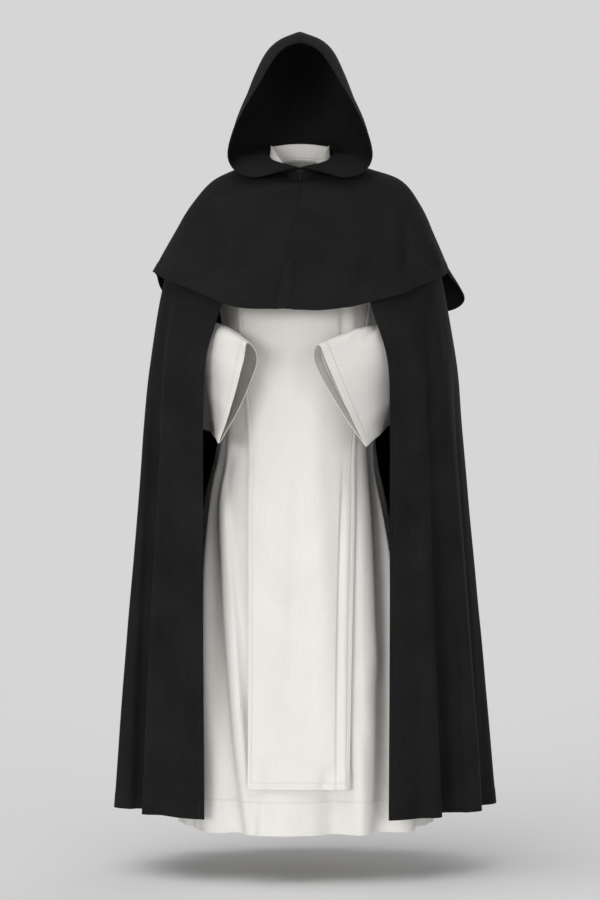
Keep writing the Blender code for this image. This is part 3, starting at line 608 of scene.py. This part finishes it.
def folded_points(ring, angle, folds, hem):
    """Rings' points, moved straight out of the rings by the folds that run there."""
    points = ring_points(ring, angle)
    across = np.sin(np.radians(angle)) / ring[..., WIDTH]
    along = np.cos(np.radians(angle)) / ring[..., FRONT_DEPTH]
    length = np.hypot(across, along)
    depth = fold_depths(folds, angle, points[..., 2], hem)
    points[..., 0] += depth * across / length
    points[..., 1] -= depth * along / length
    return points


def tunic_surface(place, angle):
    return folded_points(read_rows(TUNIC_RINGS, place), angle, TUNIC_FOLDS, TUNIC_HEM)


def scapular_surface(place, angle):
    ring = read_rows(lifted(TUNIC_RINGS, SCAPULAR_LIFT), place)
    flare = SCAPULAR_FLARE * np.clip((place - UNDERARM) / (SCAPULAR_END - UNDERARM), 0, None)
    ring[..., FRONT_DEPTH] += flare
    ring[..., BACK_DEPTH] += flare
    return folded_points(ring, angle, SCAPULAR_FOLDS, SCAPULAR_HEM)


def layer_rings(lift, rings):
    """An outer layer's rings: the tunic's own down to the shoulder points, then the layer's."""
    return lifted(TUNIC_RINGS[: SHOULDER + 1], lift) + rings


def mantle_surface(place, angle):
    ring = read_rows(layer_rings(MANTLE_LIFT, MANTLE_RINGS), place)
    return folded_points(ring, angle, MANTLE_FOLDS, MANTLE_HEM)


def cape_surface(place, angle):
    ring = read_rows(layer_rings(CAPE_LIFT, CAPE_RINGS), place)
    points = folded_points(ring, angle, CAPE_FOLDS, CAPE_HEM)
    run = np.clip((place - DIP_START) / (CAPE_END - DIP_START), 0, None)
    for dip in CAPE_DIPS:
        lower = (run**2 * dip.drop * hump(wrapped(angle - dip.angle) / dip.breadth))[..., None]
        points[..., :2] *= 1 + DIP_FLARE * lower
        points[..., 2:] -= lower
    return points


def angle_of(width, half):
    """The angle at which a ring of a half width is another half width wide."""
    return np.degrees(np.arcsin(np.clip(half / width, LEAST_SHARE, 1.0) ** (1 / ROUNDNESS)))


def armhole_cut(place):
    """How far in degrees the armhole cuts into a front or back panel of the tunic."""
    share = np.clip((UNDERARM - place) / (UNDERARM - SHOULDER), 0, 1)
    return ARMHOLE_CUT * np.sin(np.arccos(1 - 2 * share))


def armhole_place(turn):
    return UNDERARM - (UNDERARM - SHOULDER) * (1 - np.cos(np.radians(turn))) / 2


def scapular_side(place, side):
    """The angle where the scapular ends: at the shoulder line, and lower down at its own edge."""
    ring = read_rows(TUNIC_RINGS, place)
    width = ring[..., WIDTH]
    narrowing = width + np.clip(place - YOKE, 0, 1) * (SCAPULAR_SPANS[0].half - width)
    half, middle = np.moveaxis(read_rows(SCAPULAR_SPANS, np.clip(place - SHOULDER, 0, None)), -1, 0)
    edge = half + side * (middle - ring[..., SHIFT])
    return np.where(place <= YOKE, SIDE, angle_of(width, np.where(place < SHOULDER, narrowing, edge)))


def mantle_edge(place, side):
    """The angle of the mantle's front edge, measured on its own side."""
    ring = read_rows(layer_rings(MANTLE_LIFT, MANTLE_RINGS), place)
    shift = MANTLE_EDGE_SHIFT * np.clip(place, 0, 1) - ring[..., SHIFT]
    return angle_of(ring[..., WIDTH], read_rows(MANTLE_EDGES, place) + side * shift)


def cape_seam(place):
    """The angle of the cape's front seam, which turns a little to the right on its way down."""
    return CAPE_SEAM_TURN * place / CAPE_END


def neckband_surface(place, angle):
    """The neckband's outer side, from its top edge at 0 to the tunic's neckline at 1."""
    notch = np.clip(NOTCH_HEIGHT + (1 - NOTCH_HEIGHT) * np.minimum(angle, 360 - angle) / NOTCH_TURN, 0, 1)
    rise = SEAM_GAP + NECKBAND_RISE * notch * (1 - place)
    inset = SEAM_GAP + NECKBAND_LEAN * (1 - place)
    ring = stepped(TUNIC_RINGS[0], rise, rise, rise, -inset, -inset, -inset, 0)
    return ring_points(np.stack(np.broadcast_arrays(*ring), axis=-1), angle)


def sleeve_surface(side, place, turn):
    """A sleeve's points: its turns are 0 at the underarm side, 90 above and 180 on the outer side."""
    section = read_rows(UPPER_SLEEVE + LOWER_SLEEVES[side], np.clip(place, 0, None))
    out, back, height, *turns, breadth, upper, lower, pinch, bow = np.moveaxis(section, -1, 0)
    drop, raised, swing = np.radians(turns)
    nothing = np.zeros_like(drop)
    along = np.stack((np.cos(drop), nothing, -np.sin(drop)), axis=-1)
    outwards = np.stack((np.sin(drop), nothing, np.cos(drop)), axis=-1)
    forwards = np.stack((nothing, -np.cos(raised), nothing), axis=-1)
    upwards = forwards - np.sin(raised)[..., None] * along
    sine, cosine = np.sin(np.radians(turn)), np.cos(np.radians(turn))
    reach = np.where(sine > 0, upper, lower)
    narrowed = breadth * (1 - pinch * np.clip(-sine, 0, None))
    inwards = narrowed * powered(cosine) + bow * cosine**2
    offset = (reach * powered(sine))[..., None] * upwards - inwards[..., None] * outwards
    x, y, z = np.moveaxis(offset, -1, 0)
    turned_x = out + (np.cos(swing) * x + np.sin(swing) * y)
    turned_y = back + (np.cos(swing) * y - np.sin(swing) * x)
    points = np.stack((SLEEVE_SHIFT + side * turned_x, turned_y, height + z), axis=-1)
    starts = armhole_points(side, turn)
    share = np.clip(place + 1, 0, 1)[..., None]
    return starts + share * (points - starts)


def armhole_points(side, turn):
    """Where a sleeve starts: the armhole's edge on the tunic, a seam's gap further out."""
    place = armhole_place(turn)
    cut = armhole_cut(place)
    angle = side * np.where(turn < 180, SIDE - cut, SIDE + cut)
    points = tunic_surface(place, angle)
    points[..., 0] += side * ARMHOLE_GAP
    return points


def hood_surface(place, share):
    """The hood's left half, from the cape's neck seam at 0 to the crown seam, and from rim to back."""
    shares = share.reshape(-1)
    rows = [cape_surface(np.zeros_like(shares), BACK * shares)]
    rest, run = 1 - shares[:, None], shares[:, None]
    for rim, side, back in np.array(HOOD_ROWS):
        seam = back * (0, 1, 1)
        rows.append(rest**3 * rim + 3 * rest**2 * run * side + 3 * rest * run**2 * back + run**3 * seam)
    return read_rows(rows, place.reshape(-1))


def lengths_along(points, axis):
    """How far each point of a grid lies along its row or column, from its start."""
    steps = np.linalg.norm(np.diff(points, axis=axis), axis=-1)
    start = np.zeros_like(np.take(steps, [0], axis=axis))
    return np.concatenate((start, np.cumsum(steps, axis=axis)), axis=axis)


def unit(vectors):
    return vectors / np.linalg.norm(vectors, axis=-1, keepdims=True)


def grid_normals(points, closed=False):
    """The outward normals of a grid whose rows run down and whose columns run round to the left."""
    down = np.gradient(points, axis=0)
    if closed:
        around = np.roll(points, -1, axis=1) - np.roll(points, 1, axis=1)
    else:
        around = np.gradient(points, axis=1)
    return unit(np.cross(down, around))


def smooth_step(value):
    value = np.clip(value, 0, 1)
    return value * value * (3 - 2 * value)


def crease_depths(points, creases, hem):
    """How far the creases of a front or back panel move its points. Those near the hem run out over it."""
    across, height = points[..., 0], points[..., 2]
    total = np.zeros(across.shape)
    for crease in creases:
        way_x, way_z = crease.end_x - crease.start_x, crease.end_height - crease.start_height
        length = math.hypot(way_x, way_z)
        from_x, from_z = across - crease.start_x, height - crease.start_height
        run = (from_x * way_x + from_z * way_z) / length**2
        off = (from_z * way_x - from_x * way_z) / length
        off = off - crease.bend * np.sin(np.pi * np.clip(run, 0, 1))
        breadth = crease.breadth * np.where(off > 0, 1 + crease.lean, 1 - crease.lean)
        fade = smooth_step(run / FADE_IN)
        if crease.end_height > hem + HEM_REACH:
            fade = fade * smooth_step((1 - run) / FADE_OUT)
        total += crease.depth * fade * np.exp(-((off / breadth) ** 2))
    return total


def two_sided_creases(points, front, back, hem):
    """The creases of a panel that runs round from the front to the back."""
    share = smooth_step(0.5 - points[..., 1] / (2 * SIDE_BLEND))
    return share * crease_depths(points, front, hem) + (1 - share) * crease_depths(points, back, hem)


def pull_depths(points, pulls, line_of):
    """How far the pulls of a sleeve or a hood move its points, each by its distance from the pull's line."""
    total = np.zeros(points.shape[:2])
    steps = np.linspace(0, 1, PULL_STEPS)
    for pull in pulls:
        rows = pull.start_row + (pull.end_row - pull.start_row) * steps
        turns = pull.start_turn + (pull.end_turn - pull.start_turn) * steps
        away = np.linalg.norm(points[:, :, None, :] - line_of(rows, turns), axis=-1)
        nearest = np.argmin(away, axis=-1)
        fade = np.sin(np.pi * steps[nearest])
        total += pull.depth * fade * np.exp(-((np.min(away, axis=-1) / pull.breadth) ** 2))
    return total


def ripple_depths(points, phase):
    """Slow, shallow waves that keep plain cloth from lying dead smooth, uneven by their odd factors."""
    x, y, z = np.moveaxis(points, -1, 0)
    along = z + 0.35 * np.sin(5.3 * x + phase)
    waves = np.sin(2 * np.pi * (x + 0.6 * y) / RIPPLE_WIDTH + 2.1 * np.sin(3.1 * along + phase))
    slow = np.sin(2 * np.pi * along / RIPPLE_LENGTH + 1.7 * phase + 4 * x)
    return RIPPLE_DEPTH * waves * (0.6 + 0.4 * slow)


def edge_shares(count):
    """Shares of the way across a panel, closer together at both edges, where a seam or hem is drawn."""
    inner = np.linspace(0, 1, count)
    return np.unique(np.concatenate((inner, EDGE_SHARES, 1 - np.array(EDGE_SHARES))))


def even_places(surface, start, end, count, angle, hem=0.0):
    """Places down a surface the same length apart, with two close together where its hem is turned."""
    dense = np.linspace(start, end, DENSE)
    ways = lengths_along(surface(dense[:, None], np.array([[angle]])), 0)[:, 0]
    spots = np.linspace(0, ways[-1], count)
    if hem:
        turned = ways[-1] - hem
        spots = np.sort(np.append(spots, (turned - HEM_STEP, turned + HEM_STEP)))
    return np.interp(spots, ways, dense)


def edge_way(points, edge):
    """How far each point of a grid lies from one of its edges."""
    axis = 0 if edge in ("top", "bottom") else 1
    way = lengths_along(points, axis)
    if edge in ("bottom", "end"):
        way = way.max(axis=axis, keepdims=True) - way
    return way


def read_line(way, ways, line):
    """What the columns of a line say at a way along it."""
    return np.array([np.interp(way, ways, column) for column in line.T])


def edge_line(points, normals, edge, inset):
    """The line of points and normals that runs a distance in from one edge of a grid."""
    grid = np.concatenate((points, normals), axis=-1)
    if edge in ("top", "bottom"):
        grid = grid.transpose(1, 0, 2)
    if edge in ("bottom", "end"):
        grid = grid[:, ::-1]
    ways = lengths_along(grid[..., :3], 1)
    return np.array([read_line(inset, way, line) for way, line in zip(ways, grid)])


# A grid of points dressed as cloth: how far each lies past the nearest line of stitches, and those lines.
Dressed = namedtuple("Dressed", "points seam_ways lines")


def dress(points, normals_of, depths, seams, hems, sink=SEAM_SINK):
    """Moves a grid's points by its folds, sinks its seams and thickens its hems, each given by its inset."""
    ways = [edge_way(points, edge) for edge in seams]
    for way in ways:
        depths = depths * smooth_step(way / SEAM_QUIET)
    for way in ways:
        depths = depths - sink * np.exp(-((way / SEAM_BREADTH) ** 2))
    seam_ways = np.minimum.reduce([edge_way(points, edge) - inset for edge, inset in hems.items()])
    depths = depths + HEM_THICKNESS * smooth_step(0.5 - seam_ways / (2 * HEM_STEP))
    points = points + depths[..., None] * normals_of(points)
    normals = normals_of(points)
    lines = [edge_line(points, normals, edge, inset) for edge, inset in hems.items()]
    return Dressed(points, seam_ways, lines)


def put(name, data):
    """An object in the scene that holds a mesh, a lamp or a lens."""
    item = bpy.data.objects.new(name, data)
    bpy.context.scene.collection.objects.link(item)
    return item


def new_piece(name, points, faces, material):
    """A piece on the frame, made of faces between points whose heights are above the floor."""
    mesh = bpy.data.meshes.new(name)
    mesh.from_pydata(points, [], faces)
    mesh.transform(Matrix.Translation((0, 0, -HELD_HEIGHT)))
    mesh.materials.append(material)
    piece = put(name, mesh)
    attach(piece, "root")
    return piece


def sew(name, lines, cloth):
    """One mesh of stitches along lines of points and normals."""
    bpy.ops.object.select_all(action="DESELECT")
    bpy.ops.mesh.primitive_uv_sphere_add(segments=6, ring_count=3, radius=1.0)
    stitch = bpy.context.active_object
    shape = np.array([vertex.co for vertex in stitch.data.vertices])
    shape = shape * (STITCH_RADIUS, STITCH_RADIUS, STITCH_LENGTH / 2)
    corners = [tuple(polygon.vertices) for polygon in stitch.data.polygons]
    bpy.ops.object.delete()
    steps = (-STITCH_LENGTH / 2, 0, STITCH_LENGTH / 2)
    points, faces = [], []
    for line in lines:
        ways = lengths_along(line[None, :, :3], 1)[0]
        for way in np.arange(STITCH_PITCH, ways[-1] - STITCH_PITCH / 2, STITCH_PITCH):
            before, middle, after = (read_line(way + step, ways, line) for step in steps)
            along = unit(after[:3] - before[:3])
            sideways = unit(np.cross(middle[3:], along))
            outwards = np.cross(along, sideways)
            placed = shape @ np.stack((sideways, outwards, along)) + middle[:3] + STITCH_RISE * outwards
            faces += [tuple(corner + len(points) for corner in face) for face in corners]
            points += placed.tolist()
    stitches = new_piece(name, points, faces, cloth.thread)
    stitches.data.shade_smooth()
    return stitches


def make_cloth(node, dressed, cloth, closed=False, turned=False):
    """A node's piece of cloth: a wall behind a grid of points, with its stitches and a map of its weave."""
    points = dressed.points
    rows, columns = points.shape[:2]
    near = np.arange(columns if closed else columns - 1)[None, :]
    upper = np.arange(rows - 1)[:, None]
    corners = [(upper, near), (upper + 1, near), (upper + 1, near + 1), (upper, near + 1)]
    if turned:
        corners = corners[::-1]
    faces = np.stack([row * columns + column % columns for row, column in corners], axis=-1)
    faces = faces.reshape(-1, 4).tolist()
    piece = new_piece(node + "_cloth", points.reshape(-1, 3).tolist(), faces, cloth.wool)

    whole = np.concatenate((points, points[:, :1]), axis=1)
    across = lengths_along(whole, 1)
    across = across - across[:, columns // 2, None]
    weave = np.stack((across, -lengths_along(whole, 0)), axis=-1)
    spots = np.stack([weave[row, column] for row, column in corners], axis=2)
    piece.data.uv_layers.new(name="weave").data.foreach_set("uv", spots.astype(np.float32).reshape(-1))
    seam = piece.data.attributes.new("seam_way", "FLOAT", "POINT")
    seam.data.foreach_set("value", dressed.seam_ways.astype(np.float32).reshape(-1))

    bpy.ops.object.select_all(action="DESELECT")
    piece.select_set(True)
    bpy.context.view_layer.objects.active = piece
    thickness = piece.modifiers.new("wall", "SOLIDIFY")
    thickness.thickness = cloth.wall
    thickness.offset = -1
    bpy.ops.object.modifier_apply(modifier=thickness.name)
    bpy.ops.object.shade_smooth_by_angle(angle=SHARP_ANGLE)

    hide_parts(node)
    sew(node + "_stitches", dressed.lines, cloth)
    return piece


def panel_points(surface, rows, edges, across):
    """The points of a panel between two edges. Panels that are sewn together meet at their edges."""
    start, end = edges
    return surface(rows, start + (end - start) * edge_shares(across)[None, :])


def make_panel(node, cloth, surface, last, middle, edges, creases, seams, hems, sink=SEAM_SINK):
    """A panel that hangs from the neckline, in rows evenly spaced down its middle, with its creases."""
    sheet = SHEETS[node]
    rows = even_places(surface, 0, last, sheet.down, middle, hems["bottom"])[:, None]
    points = panel_points(surface, rows, edges(rows), sheet.across)
    depths = creases(points) + ripple_depths(points, sheet.phase)
    make_cloth(node, dress(points, grid_normals, depths, seams, hems, sink), cloth)


def make_tunic(cloth):
    panels = {"tunic_front": (FRONT, TUNIC_FRONT_CREASES), "tunic_back": (BACK, TUNIC_BACK_CREASES)}
    for node, (middle, creases) in panels.items():
        make_panel(
            node,
            cloth,
            tunic_surface,
            TUNIC_END,
            middle,
            edges=lambda place: (middle - SIDE + armhole_cut(place), middle + SIDE - armhole_cut(place)),
            creases=lambda points: crease_depths(points, creases, TUNIC_HEM),
            seams=("top", "start", "end"),
            hems={"bottom": TUNIC_HEM_DEPTH},
        )


def make_neckband(cloth):
    sheet = SHEETS["neckband"]
    rows = np.linspace(0, 1, sheet.down)[:, None]
    points = panel_points(neckband_surface, rows, (NOTCH_GAP, 2 * BACK - NOTCH_GAP), sheet.across)
    hems = {"top": NECKBAND_STITCH_INSET, "bottom": NECKBAND_STITCH_INSET}
    make_cloth("neckband", dress(points, grid_normals, np.zeros(points.shape[:2]), (), hems), cloth)


def make_scapular(cloth):
    panels = {
        "scapular_front": (FRONT, RIGHT, SCAPULAR_FRONT_CREASES),
        "scapular_back": (BACK, LEFT, SCAPULAR_BACK_CREASES),
    }
    for node, (middle, before, creases) in panels.items():
        make_panel(
            node,
            cloth,
            scapular_surface,
            SCAPULAR_END,
            middle,
            edges=lambda place: (
                middle - scapular_side(place, before),
                middle + scapular_side(place, -before),
            ),
            creases=lambda points: crease_depths(points, creases, SCAPULAR_HEM),
            seams=(),
            hems={"bottom": SCAPULAR_HEM_DEPTH, "start": SCAPULAR_SIDE_HEM, "end": SCAPULAR_SIDE_HEM},
        )


def make_mantle(cloth):
    halves = {
        "mantle_left": ("start", "end", lambda place: (mantle_edge(place, LEFT), BACK)),
        "mantle_right": ("end", "start", lambda place: (BACK, 2 * BACK - mantle_edge(place, RIGHT))),
    }
    creases = (MANTLE_FRONT_CREASES, MANTLE_BACK_CREASES, MANTLE_HEM)
    for node, (front_edge, back_seam, edges) in halves.items():
        make_panel(
            node,
            cloth,
            mantle_surface,
            MANTLE_END,
            BACK,
            edges=edges,
            creases=lambda points: two_sided_creases(points, *creases),
            seams=(back_seam,),
            hems={"bottom": MANTLE_HEM_DEPTH, front_edge: FRONT_EDGE_HEM},
        )


def make_cape(cloth):
    halves = {
        "cape_left": lambda place: (cape_seam(place), BACK),
        "cape_right": lambda place: (BACK, 2 * BACK + cape_seam(place)),
    }
    creases = (CAPE_FRONT_CREASES, CAPE_BACK_CREASES, CAPE_HEM)
    for node, edges in halves.items():
        make_panel(
            node,
            cloth,
            cape_surface,
            CAPE_END,
            BACK,
            edges=edges,
            creases=lambda points: two_sided_creases(points, *creases),
            seams=("start", "end"),
            hems={"bottom": CAPE_HEM_DEPTH},
            sink=CAPE_SEAM_SINK,
        )


def make_sleeve(side, cloth):
    node = "sleeve_" + SIDE_NAMES[side]
    sheet = SHEETS[node]

    def surface(place, turn):
        return sleeve_surface(side, place, turn)

    def outward(points):
        return side * grid_normals(points, closed=True)

    places = even_places(surface, -1, SLEEVE_END, sheet.down, BACK, CUFF_HEM_DEPTH)
    turns = np.linspace(0, 360, sheet.across, endpoint=False)
    points = surface(places[:, None], turns[None, :])
    depths = pull_depths(points, SLEEVE_PULLS[side], surface) + ripple_depths(points, sheet.phase)
    dressed = dress(points, outward, depths, ("top",), {"bottom": CUFF_HEM_DEPTH})
    make_cloth(node, dressed, cloth, closed=True, turned=side == RIGHT)


def tuck_in(points, side):
    """Closes the hood's half on its middle seams, and turns its neck edge in under the cape's."""
    points[..., 0] = side * np.maximum(side * points[..., 0], 0)
    points[-1, :, 0] = 0
    points[:, -1, 0] = 0
    turned = unit(points[0] - points[1])
    inwards = unit(points[0] * (-1, -1, 0))
    points[0] += NECK_ALLOWANCE * turned + (BLACK_WALL + SEAM_GAP) * inwards


def make_hood(side, cloth):
    node = "hood_" + SIDE_NAMES[side]
    sheet = SHEETS[node]

    def surface(place, share):
        points = hood_surface(place, share)
        points[..., 0] = side * np.maximum(points[..., 0], 0)
        return points

    def line_of(rows, shares):
        each = np.arange(len(rows))
        return surface(rows, shares)[each, each]

    def outward(points):
        return -side * grid_normals(points)

    places = even_places(surface, 0, len(HOOD_ROWS), sheet.down, 0.5)
    points = surface(places, edge_shares(sheet.across))
    depths = pull_depths(points, HOOD_PULLS[side], line_of) + ripple_depths(points, sheet.phase)
    dressed = dress(points, outward, depths, ("bottom", "end"), {"start": HOOD_RIM_HEM})
    tuck_in(dressed.points, side)
    dressed.seam_ways[:THROAT_ROWS] = 1.0
    dressed = dressed._replace(lines=[line[THROAT_ROWS:] for line in dressed.lines])
    piece = make_cloth(node, dressed, cloth, turned=side == LEFT)
    for vertex in piece.data.vertices:
        vertex.co.x = side * max(side * vertex.co.x, 0)


def linear(hex_colour):
    """A #rrggbb colour as the linear light that a shader takes."""
    values = [int(hex_colour[place : place + 2], 16) / 255 for place in (1, 3, 5)]
    light = [value / 12.92 if value <= 0.04045 else ((value + 0.055) / 1.055) ** 2.4 for value in values]
    return (*light, 1.0)


def connect(node, inputs):
    """Sets a node's inputs, or links them to the sockets that feed them."""
    for name, value in inputs.items():
        if isinstance(value, bpy.types.NodeSocket):
            node.id_data.links.new(value, node.inputs[name])
        else:
            node.inputs[name].default_value = value


def add_node(tree, kind, inputs=None, **settings):
    """Adds a node with its settings and its inputs."""
    node = tree.nodes.new(kind)
    for name, value in settings.items():
        setattr(node, name, value)
    connect(node, inputs or {})
    return node


def new_material(name):
    """A material with an empty shader, and that shader."""
    material = bpy.data.materials.new(name)
    material.use_nodes = True
    tree = material.node_tree
    tree.nodes.clear()
    shader = add_node(tree, "ShaderNodeBsdfPrincipled")
    add_node(tree, "ShaderNodeOutputMaterial", {"Surface": shader.outputs["BSDF"]})
    return material, shader


def summed(tree, patterns, weights):
    """The sum of patterns, each times its weight."""
    total = 0.0
    for pattern, weight in zip(patterns, weights):
        parts = {0: pattern.outputs["Fac"], 1: weight, 2: total}
        total = add_node(tree, "ShaderNodeMath", parts, operation="MULTIPLY_ADD").outputs["Value"]
    return total


def twilled_wool(name, shades, nap_depth, finish):
    """Worsted wool woven in twill and fulled: a matt face with a faint diagonal, nap and uneven threads."""
    material, shader = new_material(name)
    tree = material.node_tree
    weave = add_node(tree, "ShaderNodeUVMap", uv_map="weave").outputs["UV"]
    rib = {"Vector": weave, "Scale": TWILL_SCALE, "Distortion": 1.2, "Detail": 1.0, "Detail Scale": 0.6}
    twill = add_node(tree, "ShaderNodeTexWave", rib, wave_type="BANDS", bands_direction="DIAGONAL")
    threads = add_node(tree, "ShaderNodeMapping", {"Vector": weave, "Scale": THREAD_STRETCH})
    uneven = {"Vector": threads.outputs["Vector"], "Scale": 1.0, "Detail": 3.0}
    slubs = add_node(tree, "ShaderNodeTexNoise", uneven)
    nap = add_node(tree, "ShaderNodeTexNoise", {"Vector": weave, "Scale": 1 / NAP_SIZE, "Detail": 4.0})
    clouds = add_node(tree, "ShaderNodeTexNoise", {"Vector": weave, "Scale": 1 / CLOUD_SIZE, "Detail": 3.0})

    ramp = add_node(tree, "ShaderNodeValToRGB", {"Fac": summed(tree, (clouds, slubs, nap), TONE_PARTS)})
    stops = ramp.color_ramp.elements
    stops[0].position, stops[1].position = TONE_STOPS[0], TONE_STOPS[2]
    stops.new(TONE_STOPS[1])
    for stop, shade in zip(stops, shades):
        stop.color = linear(shade)

    relief = summed(tree, (twill, slubs, nap), RELIEF_PARTS)
    face = add_node(tree, "ShaderNodeBump", {"Height": relief, "Distance": nap_depth, "Strength": 0.8})
    way = add_node(tree, "ShaderNodeAttribute", attribute_name="seam_way").outputs["Fac"]
    off = add_node(tree, "ShaderNodeMath", {0: way}, operation="ABSOLUTE").outputs["Value"]
    reach = {"Value": off, "From Min": 0.0, "From Max": GROOVE_BREADTH}
    groove = add_node(tree, "ShaderNodeMapRange", reach, interpolation_type="SMOOTHSTEP").outputs["Result"]
    dent = {"Height": groove, "Distance": GROOVE_DEPTH, "Strength": 1.0, "Normal": face.outputs["Normal"]}
    sewn = add_node(tree, "ShaderNodeBump", dent)
    connect(shader, {"Base Color": ramp.outputs["Color"], "Normal": sewn.outputs["Normal"]})
    connect(shader, {"Roughness": WOOL_ROUGHNESS, "IOR": WOOL_IOR, **finish})
    return material


def white_habit_wool():
    """Undyed merino, washed and pressed: warm off-white, close to chalk in the light, with a soft bloom."""
    finish = {"Specular IOR Level": 0.3, "Sheen Weight": 0.08, "Sheen Roughness": 0.5}
    return twilled_wool("white_habit_wool", ("#ece8e2", "#f1eee9", "#f5f3ef"), 0.0003, finish)


def black_habit_wool():
    """The same cloth dyed black: nearly no gloss, and a grey bloom of nap where it turns from the eye."""
    finish = {"Specular IOR Level": 0.1, "Sheen Weight": 0.03, "Sheen Roughness": 0.4}
    finish["Sheen Tint"] = linear("#9a9a9e")
    return twilled_wool("black_habit_wool", ("#171717", "#1d1d1d", "#252525"), 0.0004, finish)


def flecked(name, fleck, detail, dark, light):
    """A material whose colour goes from one shade to another in fine flecks, its shader and the flecks."""
    material, shader = new_material(name)
    tree = material.node_tree
    place = add_node(tree, "ShaderNodeTexCoord").outputs["Object"]
    flecks = add_node(tree, "ShaderNodeTexNoise", {"Vector": place, "Scale": 1 / fleck, "Detail": detail})
    shades = {"Factor": flecks.outputs["Fac"], MIXED_FROM: linear(dark), MIXED_TO: linear(light)}
    tone = add_node(tree, "ShaderNodeMix", shades, data_type="RGBA")
    connect(shader, {"Base Color": tone.outputs[MIXED]})
    return material, shader, flecks.outputs["Fac"]


def sewing_thread(name, dark, light):
    """Mercerised cotton thread, twisted: a little smoother than the wool, so each stitch catches light."""
    material, shader, fibres = flecked(name, THREAD_FIBRE, 2.0, dark, light)
    connect(shader, {"Roughness": 0.6})
    return material


def lacquered_wire():
    """Drawn brass wire under black lacquer: a smooth dark coat that shows small bright lines of light."""
    material, shader, wear = flecked("lacquered_wire", LACQUER_SPECK, 3.0, "#121212", "#2c2b2a")
    lustre = {"Value": wear, "To Min": 0.25, "To Max": 0.45}
    gloss = add_node(material.node_tree, "ShaderNodeMapRange", lustre)
    connect(shader, {"Roughness": gloss.outputs["Result"], "Coat Weight": 0.4})
    return material


def make_floor():
    """A plain pale floor, so wide that its far edge lies on the horizon."""
    bpy.ops.object.select_all(action="DESELECT")
    bpy.ops.mesh.primitive_plane_add(size=FLOOR_SIZE, location=(0, 0, -HELD_HEIGHT))
    floor = bpy.context.active_object
    floor.name = "floor"
    material, shader = new_material("pale_floor")
    connect(shader, {"Base Color": linear(FLOOR_COLOUR), "Roughness": 1.0, "Specular IOR Level": 0.0})
    floor.data.materials.append(material)


def light_studio():
    """The four lamps, and a pale wall all round that looks brighter than it shines."""
    world = bpy.data.worlds.new("studio")
    world.use_nodes = True
    tree = world.node_tree
    tree.nodes.clear()
    wall = add_node(tree, "ShaderNodeBackground", {"Color": linear(STUDIO_COLOUR)})
    sky = add_node(tree, "ShaderNodeBackground", {"Color": linear(STUDIO_COLOUR), "Strength": SKY_LIGHT})
    seen = add_node(tree, "ShaderNodeLightPath").outputs["Is Camera Ray"]
    both = add_node(tree, "ShaderNodeMixShader", {0: seen, 1: sky.outputs[0], 2: wall.outputs[0]})
    add_node(tree, "ShaderNodeOutputWorld", {"Surface": both.outputs[0]})
    bpy.context.scene.world = world
    for lamp in LAMPS:
        sun = bpy.data.lights.new(lamp.name, "SUN")
        sun.energy = lamp.energy
        sun.angle = math.radians(lamp.spread)
        put(lamp.name, sun).rotation_euler = Vector(lamp.towards).to_track_quat("-Z", "Y").to_euler()
    bpy.context.scene.view_settings.view_transform = "Standard"


def place_camera():
    lens = bpy.data.cameras.new("camera")
    lens.lens = CAMERA_LENS
    lens.sensor_width = SENSOR
    camera = put("camera", lens)
    camera.location = CAMERA_PLACE
    camera.rotation_euler = (math.radians(90), 0, 0)
    bpy.context.scene.camera = camera


def main():
    white_thread = sewing_thread("white_thread", "#dcd8cf", "#f2efe8")
    black_thread = sewing_thread("black_thread", "#161616", "#2a2a2b")
    white = Cloth(white_habit_wool(), white_thread, "white_wool", WHITE_WALL)
    black = Cloth(black_habit_wool(), black_thread, "black_wool", BLACK_WALL)
    make_tunic(white)
    make_neckband(white)
    make_scapular(white)
    make_mantle(black)
    make_cape(black)
    for side in (LEFT, RIGHT):
        make_sleeve(side, white)
        make_hood(side, black)
    wire = lacquered_wire()
    for node in ("throat_hook", "throat_eye"):
        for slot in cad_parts[node].material_slots:
            slot.material = wire
    make_floor()
    light_studio()
    place_camera()


main()
